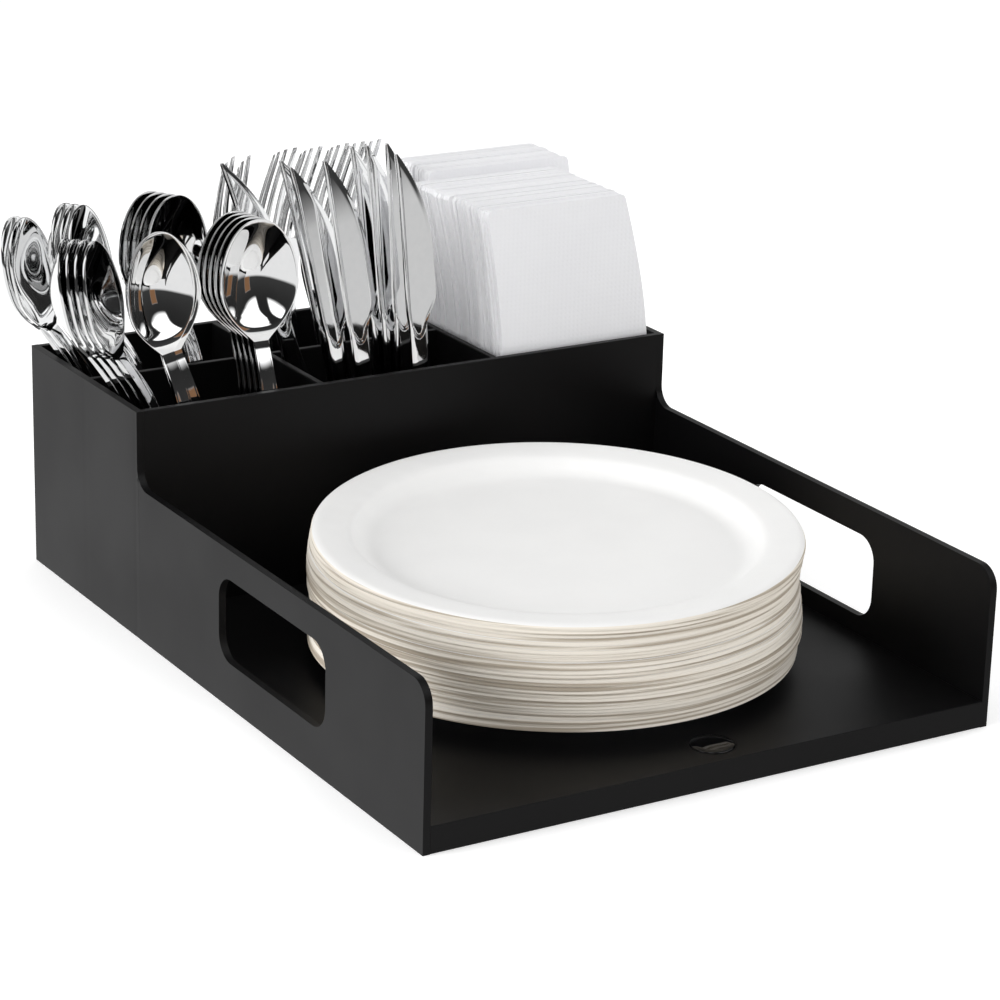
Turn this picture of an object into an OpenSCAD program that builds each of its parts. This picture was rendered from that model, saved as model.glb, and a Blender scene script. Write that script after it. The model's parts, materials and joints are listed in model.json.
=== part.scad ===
// Countertop caddy for plates, cutlery and napkins, with its contents.
// Millimetres. The origin is the centre of the caddy's footprint on the counter.
// X runs to the right along the front lip, Y to the back and Z up.

/* [Caddy] */
// Overall width over the side panels
body_w = 280; // [240:1:340]
// Overall depth from the front lip to the back wall
body_d = 376; // [330:1:460]
// Height of the side panels beside the plates
tray_h = 72.5; // [56:0.5:90]
// Height of the floor above the counter, which is the height of the front lip
lip_h = 12; // [8:0.5:20]
// Thickness of the outer walls
wall = 3.4; // [2.4:0.1:5]
// Thickness of the tray floor
floor_t = 3; // [2:0.1:5]
// Thickness of the ribs under the floor
rib_t = 2; // [1.2:0.1:3]
// Number of ribs that run from front to back
ribs_along = 3; // [1:2:5]
// Number of ribs that run across
ribs_across = 1; // [1:2:3]
// Radius of the front top corner of a side panel
front_r = 10; // [4:0.5:20]
// Radius of the hollow curve where a side panel rises to the bin
rise_r = 9.5; // [4:0.5:16]

/* [Bin] */
// Height of the bin
bin_h = 107.5; // [95:0.5:125]
// Overall depth of the bin
bin_d = 116; // [110:0.5:150]
// Thickness of the dividers
divider_t = 3; // [2:0.1:4]
// Depth of the front cutlery pockets
front_pocket_d = 51; // [48:0.5:60]
// Play at each side of the halved crossing of the two dividers
lap_play = 0.15; // [0.05:0.05:0.3]

/* [Hand holes] */
// Length of a hand hole
hand_l = 97; // [80:1:120]
// Height of a hand hole
hand_h = 38.3; // [28:0.1:44]
// Corner radius of a hand hole
hand_r = 11; // [4:0.5:14]
// Distance of a hand hole from the front of the panel
hand_front = 81.5; // [60:0.5:110]
// Distance of a hand hole from the counter
hand_z = 20.7; // [16:0.1:24]

/* [Badge] */
// Diameter of the round badge
badge_dia = 19; // [12:0.5:30]
// Thickness of the badge
badge_t = 1; // [0.6:0.1:2]
// Depth of its seat in the floor
badge_seat = 0.6; // [0.2:0.1:1.2]
// Play round it in its seat
badge_play = 0.15; // [0.05:0.05:0.3]
// Distance of its middle from the front lip
badge_front = 16; // [12:0.5:24]
// Distance of its middle from the caddy's middle plane
badge_x = 7; // [-40:0.5:40]

/* [Cutlery] */
// Length of a spoon
spoon_l = 172; // [150:1:200]
// Width of a spoon's bowl
bowl_w = 38; // [30:0.5:42]
// Length of a spoon's bowl
bowl_l = 57; // [50:1:66]
// Depth of a spoon's bowl
bowl_depth = 10.5; // [5:0.5:13]
// Height of the arch along a spoon's handle
spoon_arch = 10; // [4:0.5:12]
// Length of a fork
fork_l = 186; // [165:1:210]
// Width of a fork's head
fork_w = 23; // [18:0.5:26]
// Length of a fork's head, tines and all
fork_head_l = 88; // [70:1:95]
// Length of a fork's tines
tine_l = 46; // [35:1:55]
// Height of the arch along a fork's handle
fork_arch = 5; // [2:0.5:8]
// Length of a knife
knife_l = 201; // [180:1:225]
// Length of a knife's blade
blade_l = 87; // [75:1:100]
// Width of a knife's blade
blade_w = 18; // [14:0.5:20]
// Width of a handle at its foot
handle_w = 16; // [12:0.5:20]
// Width of a spoon or fork at its neck
neck_w = 7; // [5:0.5:9]
// Width of a knife's handle where its blade begins
bolster_w = 10; // [7:0.5:12]
// Thickness of a handle
handle_t = 2.2; // [1.6:0.1:2.6]
// Thickness of a bowl, blade or tine
sheet_t = 1.2; // [0.8:0.1:1.6]
// Distance from one nested spoon to the next
nest_step = 4.4; // [4:0.1:6]
// Distance from one row of knives to the next
knife_row = 3.5; // [3.3:0.1:4]

/* [Napkins] */
// Width of a folded napkin
napkin_w = 84; // [70:1:85]
// Height of a folded napkin as it stands
napkin_h = 166; // [130:1:180]
// How much the napkins at the back stand above the others
napkin_rise = 4; // [0:0.5:8]
// Thickness of a folded napkin
napkin_t = 2.9; // [1.5:0.1:4]
// Air between one napkin and the next
napkin_gap = 0.3; // [0.2:0.1:1]
// Number of napkins in the pack behind the first napkin
pack_front = 9; // [4:1:9]
// Number of napkins in the middle pack
pack_middle = 10; // [4:1:10]
// Number of napkins in the back pack
pack_back = 10; // [4:1:10]

/* [Plates] */
// Diameter of a plate
plate_dia = 216; // [150:1:225]
// Diameter of the flat middle of a plate
plate_flat = 156; // [100:1:170]
// Height of a plate
plate_rise = 8.5; // [8:0.5:20]
// Thickness of a plate, measured upright
plate_t = 1.2; // [0.8:0.1:1.3]
// Height from one nested plate to the next
plate_pitch = 1.88; // [1.8:0.02:3]
// Number of plates in the lower third of the stack
lower_count = 9; // [3:1:9]
// Number of plates in the middle third of the stack
middle_count = 9; // [3:1:9]
// Number of plates in the upper third, under the top plate
upper_count = 8; // [3:1:9]
// Lean of the top plate, from the stack's uneven nesting
plate_lean = 2.2; // [0:0.1:2.5]

/* [Fit] */
// Air between standing pieces and what they stand on or beside
seat = 0.3; // [0.1:0.05:0.6]
// Smoothness of the round faces
$fn = 96; // [32:8:160]

/* [Hidden] */
// Walls and pockets
front_y = -body_d / 2;
back_y = body_d / 2;
left_x = -body_w / 2 + wall;
right_x = body_w / 2 - wall;
bin_y = back_y - bin_d;
row_1 = bin_y + wall;
cross_y = row_1 + front_pocket_d;
row_2 = cross_y + divider_t;
back_in = back_y - wall;
column_w = (right_x - left_x - 2 * divider_t) / 3;
column_2 = left_x + column_w + divider_t;
column_3 = column_2 + column_w + divider_t;
wall_z = bin_h - lip_h;
slab = 0.01;

// Plates: the stack's middle, with the share of the free depth that is in front of it, the way it
// leans and how far single plates are out of line
stack_x = 2;
stack_front = 0.59;
stack_y = front_y + plate_dia / 2 + stack_front * (bin_y - front_y - plate_dia);
lean_dir = -31;
drift = 1.0;
drift_turn = 17;
plates_1 = lower_count;
plates_2 = plates_1 + middle_count;
plates_3 = plates_2 + upper_count;

// Napkins: where the row starts, with the share of the free width that is at its left, and how
// many in all up to the end of each pack
napkin_y = row_1 + 2;
napkin_left = 0.6;
napkin_x = column_3 + napkin_left * (column_w - napkin_w);
napkin_steps = 6;
// How the paper stands above the rim: [bend to the left, drawing in at the right]
shape_front = [10, 5];
shape_middle = [13, 2];
shape_back = [4, 4];
pack_1 = pack_front;
pack_2 = pack_1 + pack_middle;
pack_3 = pack_2 + pack_back;

// Cutlery: heights along a piece that stands on its handle
handle_end = handle_w / 2;
neck_z = spoon_l - bowl_l;
fork_neck = fork_l - fork_head_l;
tine_z = fork_l - tine_l;
bolster_z = knife_l - blade_l;
foot_z = lip_h + seat;

// Shapes of the cutlery. A spoon's bowl is widest at this share of its length, blunt_tip and
// blunt_foot keep an end from closing, shoulder holds powers, bowl_back is a slope and the hollow
// starts at the heel's share.
widest = 0.47;
heel = 0.07;
blunt_tip = 0.01;
blunt_foot = 0.06;
bow_power = 1.6;
shoulder = [2.1, 1.15];
bowl_back = -0.03;
thinning = 30;
// A fork's head waves over this angle, curls forward at its tip and is hollow across. The gap
// between two tines and a tine's taper are shares of a tine's width.
head_wave = 200;
head_curl = 1.4;
head_hollow = 2;
tip_w = fork_w * 0.9;
tine_gap = 1.25;
tine_taper = 0.3;
// A blade's back and tip lie to the left by these shares of its width, and past the belly it narrows
blade_back = 0.32;
blade_tip = 0.26;
belly = 0.35;

// A lean is how far a piece has moved over at the height of the rim, as [x, y].
// Nests of spoons: [foot, lean, turn, fan, slip, swing]
back_left = [[left_x + 37.2, row_2 + 45], [-34.1, -5.5], 39, 2, 0, 0];
back_mid = [[left_x + 53, row_2 + 31], [-25.9, 0.9], 40, 0, 0, 0];
back_right = [[left_x + 60.6, row_2 + 12.9], [-6.1, 2], 14, 0, 1.5, 0];
front_left = [[left_x + 37.5, row_1 + 35.4], [-28.7, -3.8], 44, 2, 0, 0];
front_mid = [[left_x + 33.1, row_1 + 14.3], [-10.5, 0.6], 13, -8, -1.3, 15];
front_right = [[left_x + 68.6, row_1 + 9.4], [-2, 2.6], -4, 0, 1, 0];

// Knives 1 to 8: [foot from the column's left side, row counted from the front, lean]
knife_turn = 12;
knife_first_row = row_1 + 8.5;
knife_places = [
    [35.6, 9.4, [-29.9, 1.5]], [42.8, 6.2, [-23.2, -2.9]], [38.5, 2, [-22.3, -2.9]],
    [43, 1, [-16.9, -2.9]], [56.7, 5, [-13, -2.9]], [58.2, 4, [-10.9, -2.9]],
    [64.3, 0, [-11.5, -5.3]], [58.5, 3, [-6.9, -2.9]]];

// Forks 1 to 7: [foot from the column's left side, foot from the row's front, lean, turn]
fork_places = [
    [27, 46.4, [-23.3, -10.1], 45], [34.4, 40.4, [-23.3, -8], 45], [11.5, 23.6, [0.8, 0.8], 30],
    [22.5, 23.6, [1.5, -0.5], 32], [36.5, 23.1, [1.8, 0], 32], [45.5, 23.1, [1.5, -0.3], 34],
    [55.5, 22.6, [1, 0], 35]];

// Small helpers

function mix(a, b, t) = a + (b - a) * t;
function ease(t) = let (c = min(1, max(0, t))) c * c * (3 - 2 * c);

// The caddy's walls

// Outline of a side panel, with the front at 0 and the counter at 0
module panel_outline() {
    difference() {
        union() {
            square([body_d, tray_h - front_r]);
            translate([front_r, 0]) square([body_d - front_r, tray_h]);
            translate([front_r, tray_h - front_r]) circle(front_r);
            translate([body_d - bin_d, 0]) square([bin_d, bin_h]);
            translate([body_d - bin_d - rise_r, tray_h - slab]) difference() {
                square([rise_r + slab, rise_r + slab]);
                translate([0, rise_r + slab]) circle(rise_r);
            }
        }
        translate([hand_front, hand_z]) rounded_slot(hand_l, hand_h, hand_r);
    }
}

// Rectangle with round corners, its lower left corner at the origin
module rounded_slot(l, h, r) {
    translate([r, 0]) square([l - 2 * r, h]);
    translate([0, r]) square([l, h - 2 * r]);
    for (x = [r, l - r], y = [r, h - r]) translate([x, y]) circle(r);
}

// Side panel from its outer face inwards, standing on the counter
module side_panel(x) {
    translate([x, front_y, 0]) rotate([90, 0, 90]) linear_extrude(wall) panel_outline();
}

module left_side_panel() {
    color([0.09, 0.088, 0.092]) side_panel(-body_w / 2);
}

module right_side_panel() {
    color([0.09, 0.088, 0.092]) side_panel(right_x);
}

// Floor with the front lip, a skirt and stiffening ribs down to the counter
module tray_base() {
    inner_w = right_x - left_x;
    inner_d = back_in - front_y;
    color([0.08, 0.08, 0.083]) difference() {
        union() {
            translate([left_x, front_y, lip_h - floor_t]) cube([inner_w, inner_d, floor_t]);
            translate([left_x, front_y, 0]) cube([inner_w, wall, lip_h]);
            for (i = [1:ribs_along])
                translate([left_x + i * inner_w / (ribs_along + 1) - rib_t / 2, front_y, 0])
                    cube([rib_t, inner_d, lip_h - floor_t / 2]);
            for (i = [1:ribs_across])
                translate([left_x, front_y + i * body_d / (ribs_across + 1) - rib_t / 2, 0])
                    cube([inner_w, rib_t, lip_h - floor_t / 2]);
        }
        translate([badge_x, front_y + badge_front, lip_h - badge_seat])
            cylinder(d = badge_dia + 2 * badge_play, h = badge_seat + 1);
    }
}

module floor_badge() {
    color([0.02, 0.02, 0.022])
        translate([badge_x, front_y + badge_front, lip_h - badge_seat])
            cylinder(d = badge_dia, h = badge_t);
}

module bin_front_wall() {
    color([0.07, 0.07, 0.073])
        translate([left_x, bin_y, lip_h]) cube([right_x - left_x, wall, wall_z]);
}

module bin_back_wall() {
    color([0.07, 0.07, 0.073])
        translate([left_x, back_in, 0]) cube([right_x - left_x, wall, bin_h]);
}

// Runs left to right and is notched from the top, where the cutlery divider drops in
module cross_divider() {
    color([0.06, 0.06, 0.063]) difference() {
        translate([left_x, cross_y, lip_h]) cube([column_3 - divider_t - left_x, divider_t, wall_z]);
        translate([column_2 - divider_t - lap_play, cross_y - 1, lip_h + wall_z / 2])
            cube([divider_t + 2 * lap_play, divider_t + 2, wall_z]);
    }
}

// Runs front to back and is notched from below, over the cross divider
module cutlery_divider() {
    color([0.06, 0.06, 0.063]) difference() {
        translate([column_2 - divider_t, row_1, lip_h]) cube([divider_t, back_in - row_1, wall_z]);
        translate([column_2 - divider_t - 1, cross_y - lap_play, lip_h - 1])
            cube([divider_t + 2, divider_t + 2 * lap_play, wall_z / 2 + 1]);
    }
}

module napkin_divider() {
    color([0.06, 0.06, 0.063])
        translate([column_3 - divider_t, row_1, lip_h]) cube([divider_t, back_in - row_1, wall_z]);
}

// Thin closed bodies from a grid of rows along the length and columns across.
// The front skin's points come first, row by row, then the back skin's.

// The two triangles of a four-sided face whose corners run clockwise from outside
function quad(a, b, c, d) = [[a, b, c], [a, c, d]];

// Faces of a body with n rows and m columns. From row r on, the odd strips are open gaps.
function grid_faces(n, m, r) = let (
    f = function (i, j) i * m + j,
    k = function (i, j) n * m + i * m + j,
    open = function (i, j) i >= r && j % 2 == 1
) [
    for (i = [0:n - 2], j = [0:m - 2]) if (!open(i, j)) each concat(
        quad(f(i, j), f(i + 1, j), f(i + 1, j + 1), f(i, j + 1)),
        quad(k(i, j), k(i, j + 1), k(i + 1, j + 1), k(i + 1, j))),
    for (i = [0:n - 2]) each concat(
        quad(k(i, 0), k(i + 1, 0), f(i + 1, 0), f(i, 0)),
        quad(f(i, m - 1), f(i + 1, m - 1), k(i + 1, m - 1), k(i, m - 1))),
    for (i = [r:n - 2], j = [0:m - 2]) if (open(i, j)) each concat(
        quad(f(i, j), f(i + 1, j), k(i + 1, j), k(i, j)),
        quad(k(i, j + 1), k(i + 1, j + 1), f(i + 1, j + 1), f(i, j + 1))),
    for (j = [0:m - 2]) each quad(f(0, j), f(0, j + 1), k(0, j + 1), k(0, j)),
    for (j = [0:m - 2]) let (i = open(n - 1, j) ? r : n - 1)
        each quad(f(i, j), k(i, j), k(i, j + 1), f(i, j + 1))
];

// Half width of a handle of width w at its neck, whose foot is round, at height z
function handle_half(z, neck, w) =
    mix(handle_end, w / 2, ease(z / neck)) * sqrt(max(blunt_foot, 1 - pow(max(0, 1 - z / handle_end), 2)));

// Forward bow of a handle, which starts low at its foot and is highest a third below its neck
function handle_bow(z, neck, arch) = -arch * sin(180 * pow(min(1, z / neck), bow_power));

// Spoon: the bowl's hollow faces the front, and its rim is an ellipse drawn out to the neck

function bowl_at(z) = min(1, max(0, (z - neck_z) / bowl_l));
function rim_half(t) =
    t > widest ? bowl_w / 2 * sqrt(max(blunt_tip, 1 - pow((t - widest) / (1 - widest), 2)))
    : mix(neck_w / 2, bowl_w / 2, pow(max(0, 1 - pow((widest - t) / widest, shoulder[0])), shoulder[1]));
function spoon_half(z) = z < neck_z ? handle_half(z, neck_z, neck_w) : rim_half(bowl_at(z));
function spoon_dish(z) = bowl_depth * sin(180 * max(0, (bowl_at(z) - heel) / (1 - heel)));
function spoon_line(z) = handle_bow(z, neck_z, spoon_arch) + bowl_back * max(0, z - neck_z);
function spoon_thick(z) = mix(handle_t, sheet_t, ease((z - neck_z + thinning / 2) / thinning));
spoon_rows = concat(
    [for (i = [0:3]) handle_end * (1 - cos(30 * i))],
    [for (i = [1:4]) mix(handle_end, neck_z, i / 4)],
    [for (i = [1:9]) neck_z + (spoon_l - neck_z) * (1 - cos(20 * i)) / 2]);
spoon_cols = [-1, -0.5, 0, 0.5, 1];

module spoon() {
    skin = function (side) [for (z = spoon_rows, u = spoon_cols)
        [u * spoon_half(z), spoon_line(z) + spoon_dish(z) * (1 - u * u) + side * spoon_thick(z) / 2, z]];
    n = len(spoon_rows);
    color([0.78, 0.78, 0.79])
        polyhedron(concat(skin(-1), skin(1)), grid_faces(n, len(spoon_cols), n));
}

// Fork: four tines, which are the even strips of the grid above the root row

function fork_at(z) = min(1, max(0, (z - fork_neck) / (tine_z - fork_neck)));
function head_at(z) = max(0, z - fork_neck) / fork_head_l;
function fork_half(z) = z < fork_neck ? handle_half(z, fork_neck, neck_w)
    : mix(mix(neck_w, fork_w, ease(fork_at(z) * 1.15)), tip_w, ease((z - tine_z) / tine_l)) / 2;
function fork_line(z) = handle_bow(z, fork_neck, fork_arch)
    + fork_arch * (sin(head_wave * head_at(z)) - head_curl * pow(head_at(z), 2));
function fork_thick(z) = mix(handle_t, sheet_t, ease((z - fork_neck + thinning / 2) / thinning));
fork_rows = concat(
    [for (i = [0:3]) handle_end * (1 - cos(30 * i))],
    [for (i = [1:3]) mix(handle_end, fork_neck, i / 3)],
    [for (i = [1:4]) mix(fork_neck, tine_z, i / 4)],
    [for (i = [1:3]) mix(tine_z, fork_l, i / 3)]);
fork_root = len(fork_rows) - 4;
// Column k across the head, where a tine takes 1 part of the width at the root
function fork_col(k, z) = let (
    thin = tine_taper * ease((z - tine_z) / tine_l),
    middle = floor(k / 2) * (1 + tine_gap) + 0.5,
    side = k % 2 == 0 ? -1 : 1
) 2 * (middle + side * (0.5 - thin / 2)) / (4 + 3 * tine_gap) - 1;

module fork() {
    skin = function (side) [for (z = fork_rows, k = [0:7]) let (u = fork_col(k, z))
        [u * fork_half(z),
         fork_line(z) + head_hollow * fork_at(z) * (1 - u * u) + side * fork_thick(z) / 2, z]];
    color([0.76, 0.76, 0.77])
        polyhedron(concat(skin(-1), skin(1)), grid_faces(len(fork_rows), 8, fork_root));
}

// Knife: the straight back of the blade is at the left, the cutting edge at the right

function blade_at(z) = max(0, z - bolster_z) / blade_l;
function knife_left(z) = z < bolster_z ? -handle_half(z, bolster_z, bolster_w)
    : mix(-bolster_w / 2, -blade_w * blade_back, ease(blade_at(z) * 7));
function knife_right(z) = z < bolster_z ? handle_half(z, bolster_z, bolster_w)
    : mix(mix(bolster_w / 2, blade_w * (1 - blade_back), ease(blade_at(z) * 6)), -blade_w * blade_tip,
        pow(max(0, blade_at(z) - belly) / (1 - belly), 2.2));
function knife_thick(z, u) = z < bolster_z ? handle_t * mix(0.55, 1.2, 1 - u * u)
    : sheet_t * mix(0.7, 1.1, 1 - u * u);
knife_rows = concat(
    [for (i = [0:3]) handle_end * (1 - cos(30 * i))],
    [for (i = [1:3]) mix(handle_end, bolster_z - 1, i / 3)],
    [for (i = [0:8]) mix(bolster_z, knife_l, pow(i / 8, 0.8))]);
knife_cols = [-1, -0.4, 0.4, 1];

module knife() {
    skin = function (side) [for (z = knife_rows, u = knife_cols)
        [mix(knife_left(z), knife_right(z), (u + 1) / 2), side * knife_thick(z, u) / 2, z]];
    n = len(knife_rows);
    color([0.78, 0.78, 0.79])
        polyhedron(concat(skin(-1), skin(1)), grid_faces(n, len(knife_cols), n));
}

// Stands a piece with its foot at foot, moved over by lean at the rim, both [x, y].
// turn swings its front face, and a positive turn brings it round to the right.
module stand(foot, lean, turn) {
    tilt = atan(norm(lean) / wall_z);
    way = atan2(lean[1], lean[0]);
    lift = handle_end * (1 - cos(tilt)) + handle_t / 2 * sin(tilt);
    translate([foot[0], foot[1], foot_z + lift])
        rotate([0, 0, way]) rotate([0, tilt, 0]) rotate([0, 0, turn - way]) children();
}

// Spoon i of a nest steps back from the first along the bowls' common axis, turns on by the fan,
// slips to the left and swings its foot to the right
module nested_spoon(nest, i) {
    middle_turn = nest[2] + i * nest[3] / 2;
    back = nest_step * [-sin(middle_turn), cos(middle_turn)];
    right = [cos(middle_turn), sin(middle_turn)];
    foot = nest[0] + i * (back + (nest[5] - nest[4]) * right);
    stand(foot, nest[1] - i * nest[5] * wall_z / spoon_l * right, nest[2] + i * nest[3]) spoon();
}

module spoon_back_left_1() nested_spoon(back_left, 0);
module spoon_back_left_2() nested_spoon(back_left, 1);
module spoon_back_mid_1() nested_spoon(back_mid, 0);
module spoon_back_mid_2() nested_spoon(back_mid, 1);
module spoon_back_mid_3() nested_spoon(back_mid, 2);
module spoon_back_right_1() nested_spoon(back_right, 0);
module spoon_back_right_2() nested_spoon(back_right, 1);
module spoon_back_right_3() nested_spoon(back_right, 2);
module spoon_back_right_4() nested_spoon(back_right, 3);
module spoon_front_left_1() nested_spoon(front_left, 0);
module spoon_front_left_2() nested_spoon(front_left, 1);
module spoon_front_left_3() nested_spoon(front_left, 2);
module spoon_front_left_4() nested_spoon(front_left, 3);
module spoon_front_mid_1() nested_spoon(front_mid, 0);
module spoon_front_mid_2() nested_spoon(front_mid, 1);
module spoon_front_right_1() nested_spoon(front_right, 0);
module spoon_front_right_2() nested_spoon(front_right, 1);
module spoon_front_right_3() nested_spoon(front_right, 2);
module spoon_front_right_4() nested_spoon(front_right, 3);
module spoon_front_right_5() nested_spoon(front_right, 4);

module standing_knife(place) {
    foot = [column_2 + place[0], knife_first_row + place[1] * knife_row];
    stand(foot, place[2], knife_turn) knife();
}

module knife_1() standing_knife(knife_places[0]);
module knife_2() standing_knife(knife_places[1]);
module knife_3() standing_knife(knife_places[2]);
module knife_4() standing_knife(knife_places[3]);
module knife_5() standing_knife(knife_places[4]);
module knife_6() standing_knife(knife_places[5]);
module knife_7() standing_knife(knife_places[6]);
module knife_8() standing_knife(knife_places[7]);

module standing_fork(place) {
    stand([column_2 + place[0], row_2 + place[1]], place[2], place[3]) fork();
}

module fork_1() standing_fork(fork_places[0]);
module fork_2() standing_fork(fork_places[1]);
module fork_3() standing_fork(fork_places[2]);
module fork_4() standing_fork(fork_places[3]);
module fork_5() standing_fork(fork_places[4]);
module fork_6() standing_fork(fork_places[5]);
module fork_7() standing_fork(fork_places[6]);

// Napkins

// Sideways bend of the paper above the bin's rim, at share t of the way up to its top
function bend(t, amount) = -amount * pow(t, 1.4);

// Face of a standing napkin of height h, which bends to the left above the rim and is drawn in
// at the right. The paper's shape is [bend, tuck].
module napkin_face(h, shape) {
    n = napkin_steps;
    polygon(concat(
        [[0, 0]],
        [for (i = [0:n]) [bend(i / n, shape[0]), mix(wall_z, h, i / n)]],
        [for (i = [n:-1:0]) [napkin_w + bend(i / n, shape[0] + shape[1]), mix(wall_z, h, i / n)]],
        [[napkin_w, 0]]));
}

// Napkins number a to b of the row, counted from the front
module napkins(a, b, h, shape) {
    color([0.93, 0.93, 0.94]) for (i = [a:b])
        translate([napkin_x, napkin_y + i * (napkin_t + napkin_gap) + napkin_t, lip_h + seat])
            rotate([90, 0, 0]) linear_extrude(napkin_t) napkin_face(h, shape);
}

module napkin_first() napkins(0, 0, napkin_h, shape_front);
module napkin_pack_front() napkins(1, pack_1, napkin_h, shape_front);
module napkin_pack_middle() napkins(pack_1 + 1, pack_2, napkin_h, shape_middle);
module napkin_pack_back() napkins(pack_2 + 1, pack_3, napkin_h + napkin_rise, shape_back);

// Plates

// Half of a plate's section, from the middle out along its underside and back along its top
plate_r = plate_dia / 2;
flat_r = plate_flat / 2;
rim_l = plate_r - flat_r;
// The rise to the rim, in shares of the rim's width and of the plate's height
rim_rise = [[0.2, 0.1], [0.38, 0.7], [0.46, 0.83]];
// The rolled edge: its width and how far it drops
rim_roll = [3, 0.4];
plate_under = concat(
    [[0, 0], [flat_r, 0]],
    [for (p = rim_rise) [flat_r + rim_l * p[0], plate_rise * p[1]]],
    [[plate_r - rim_roll[0], plate_rise], [plate_r, plate_rise - rim_roll[1]]]);

module plate() {
    top = [for (i = [len(plate_under) - 1:-1:0]) plate_under[i] + [0, plate_t]];
    rotate_extrude() polygon(concat(plate_under, top));
}

// Plates number a to b of the stack, counted from the floor up
module plates(a, b) {
    color([0.91, 0.905, 0.89]) for (k = [a:b])
        translate([stack_x + drift * sin(drift_turn * k), stack_y + drift * cos(drift_turn * k),
                   lip_h + seat + k * plate_pitch])
            rotate(a = plate_lean * k / plates_3, v = [cos(lean_dir), sin(lean_dir), 0]) plate();
}

module plates_lower() plates(0, plates_1 - 1);
module plates_middle() plates(plates_1, plates_2 - 1);
module plates_upper() plates(plates_2, plates_3 - 1);
module plate_top() plates(plates_3, plates_3);

tray_base();
left_side_panel();
right_side_panel();
bin_front_wall();
bin_back_wall();
cross_divider();
cutlery_divider();
napkin_divider();
floor_badge();
spoon_back_left_1();
spoon_back_left_2();
spoon_back_mid_1();
spoon_back_mid_2();
spoon_back_mid_3();
spoon_back_right_1();
spoon_back_right_2();
spoon_back_right_3();
spoon_back_right_4();
spoon_front_left_1();
spoon_front_left_2();
spoon_front_left_3();
spoon_front_left_4();
spoon_front_mid_1();
spoon_front_mid_2();
spoon_front_right_1();
spoon_front_right_2();
spoon_front_right_3();
spoon_front_right_4();
spoon_front_right_5();
knife_1();
knife_2();
knife_3();
knife_4();
knife_5();
knife_6();
knife_7();
knife_8();
fork_1();
fork_2();
fork_3();
fork_4();
fork_5();
fork_6();
fork_7();
napkin_first();
napkin_pack_front();
napkin_pack_middle();
napkin_pack_back();
plates_lower();
plates_middle();
plates_upper();
plate_top();
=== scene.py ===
"""Looks of a countertop caddy with plates, cutlery and napkins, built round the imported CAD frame.

Pieces are shaped in millimetres in a frame of their own, seated on the CAD node they stand for and
handed over in metres.
"""

from __future__ import annotations

import json
import logging
import math
import random
from dataclasses import dataclass, field
from enum import Enum
from typing import Callable, Sequence

import bmesh
import bpy
import numpy as np
from mathutils import Matrix, Vector, noise

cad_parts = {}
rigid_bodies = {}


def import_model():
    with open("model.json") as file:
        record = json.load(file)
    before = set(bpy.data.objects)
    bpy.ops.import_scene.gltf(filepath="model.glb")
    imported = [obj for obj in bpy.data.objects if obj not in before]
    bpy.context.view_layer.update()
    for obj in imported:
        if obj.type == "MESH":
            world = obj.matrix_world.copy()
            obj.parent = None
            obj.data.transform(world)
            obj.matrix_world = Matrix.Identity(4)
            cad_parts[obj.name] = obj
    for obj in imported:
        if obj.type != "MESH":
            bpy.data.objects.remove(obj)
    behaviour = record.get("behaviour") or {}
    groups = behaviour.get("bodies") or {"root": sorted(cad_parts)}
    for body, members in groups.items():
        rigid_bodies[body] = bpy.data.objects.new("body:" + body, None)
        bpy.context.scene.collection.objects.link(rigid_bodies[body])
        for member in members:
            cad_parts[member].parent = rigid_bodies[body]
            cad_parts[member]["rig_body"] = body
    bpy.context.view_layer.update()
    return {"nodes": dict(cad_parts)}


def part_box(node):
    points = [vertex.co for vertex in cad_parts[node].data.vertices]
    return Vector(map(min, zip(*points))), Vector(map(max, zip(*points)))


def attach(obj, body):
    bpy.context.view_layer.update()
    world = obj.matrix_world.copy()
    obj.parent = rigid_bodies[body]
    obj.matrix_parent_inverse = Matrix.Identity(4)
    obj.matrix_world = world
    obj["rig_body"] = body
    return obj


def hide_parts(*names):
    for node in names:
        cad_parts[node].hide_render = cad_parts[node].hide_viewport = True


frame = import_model()

LOG = logging.getLogger("caddy")
MM = 0.001
# Sockets of a Mix node for colours: its share and its two colours, and its result.
MIX_INPUTS = (0, 6, 7)
MIX_OUTPUT = 2
Colour = tuple[float, float, float]


class Slot(Enum):
    """The record's material slots."""

    BLACK = "black_plastic"
    BADGE = "badge_gloss"
    METAL = "mirror_metal"
    NAPKIN = "napkin_paper"
    BOARD = "plate_board"


# Small helpers


def ease(value: float) -> float:
    """Smooth step from 0 to 1."""
    clipped = min(1.0, max(0.0, value))
    return clipped * clipped * (3 - 2 * clipped)


def mix(low: float, high: float, share: float) -> float:
    """Value between low and high."""
    return low + (high - low) * share


def arch(share: float) -> float:
    """Sine arch, which is 0 at share 0 and 1 and 1 half way."""
    return math.sin(math.pi * min(1.0, max(0.0, share)))


def points_of(node: str) -> np.ndarray:
    """A CAD node's separate corner points.

    Args:
        node: Name of the CAD node.

    Returns:
        The points in metres, one a row.
    """
    mesh = frame["nodes"][node].data
    flat = np.zeros(len(mesh.vertices) * 3, np.float32)
    mesh.vertices.foreach_get("co", flat)
    return np.unique(flat.reshape(-1, 3).astype(float).round(7), axis=0)


def merged_copy(node: str) -> bmesh.types.BMesh:
    """A CAD node's mesh as an editable copy in millimetres, with its doubles merged.

    Args:
        node: Name of the CAD node.

    Returns:
        The copy, which the caller frees.
    """
    bm = bmesh.new()
    bm.from_mesh(frame["nodes"][node].data)
    bmesh.ops.scale(bm, vec=Vector((1, 1, 1)) / MM, verts=bm.verts[:])
    bmesh.ops.remove_doubles(bm, verts=bm.verts[:], dist=0.002)
    return bm


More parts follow.
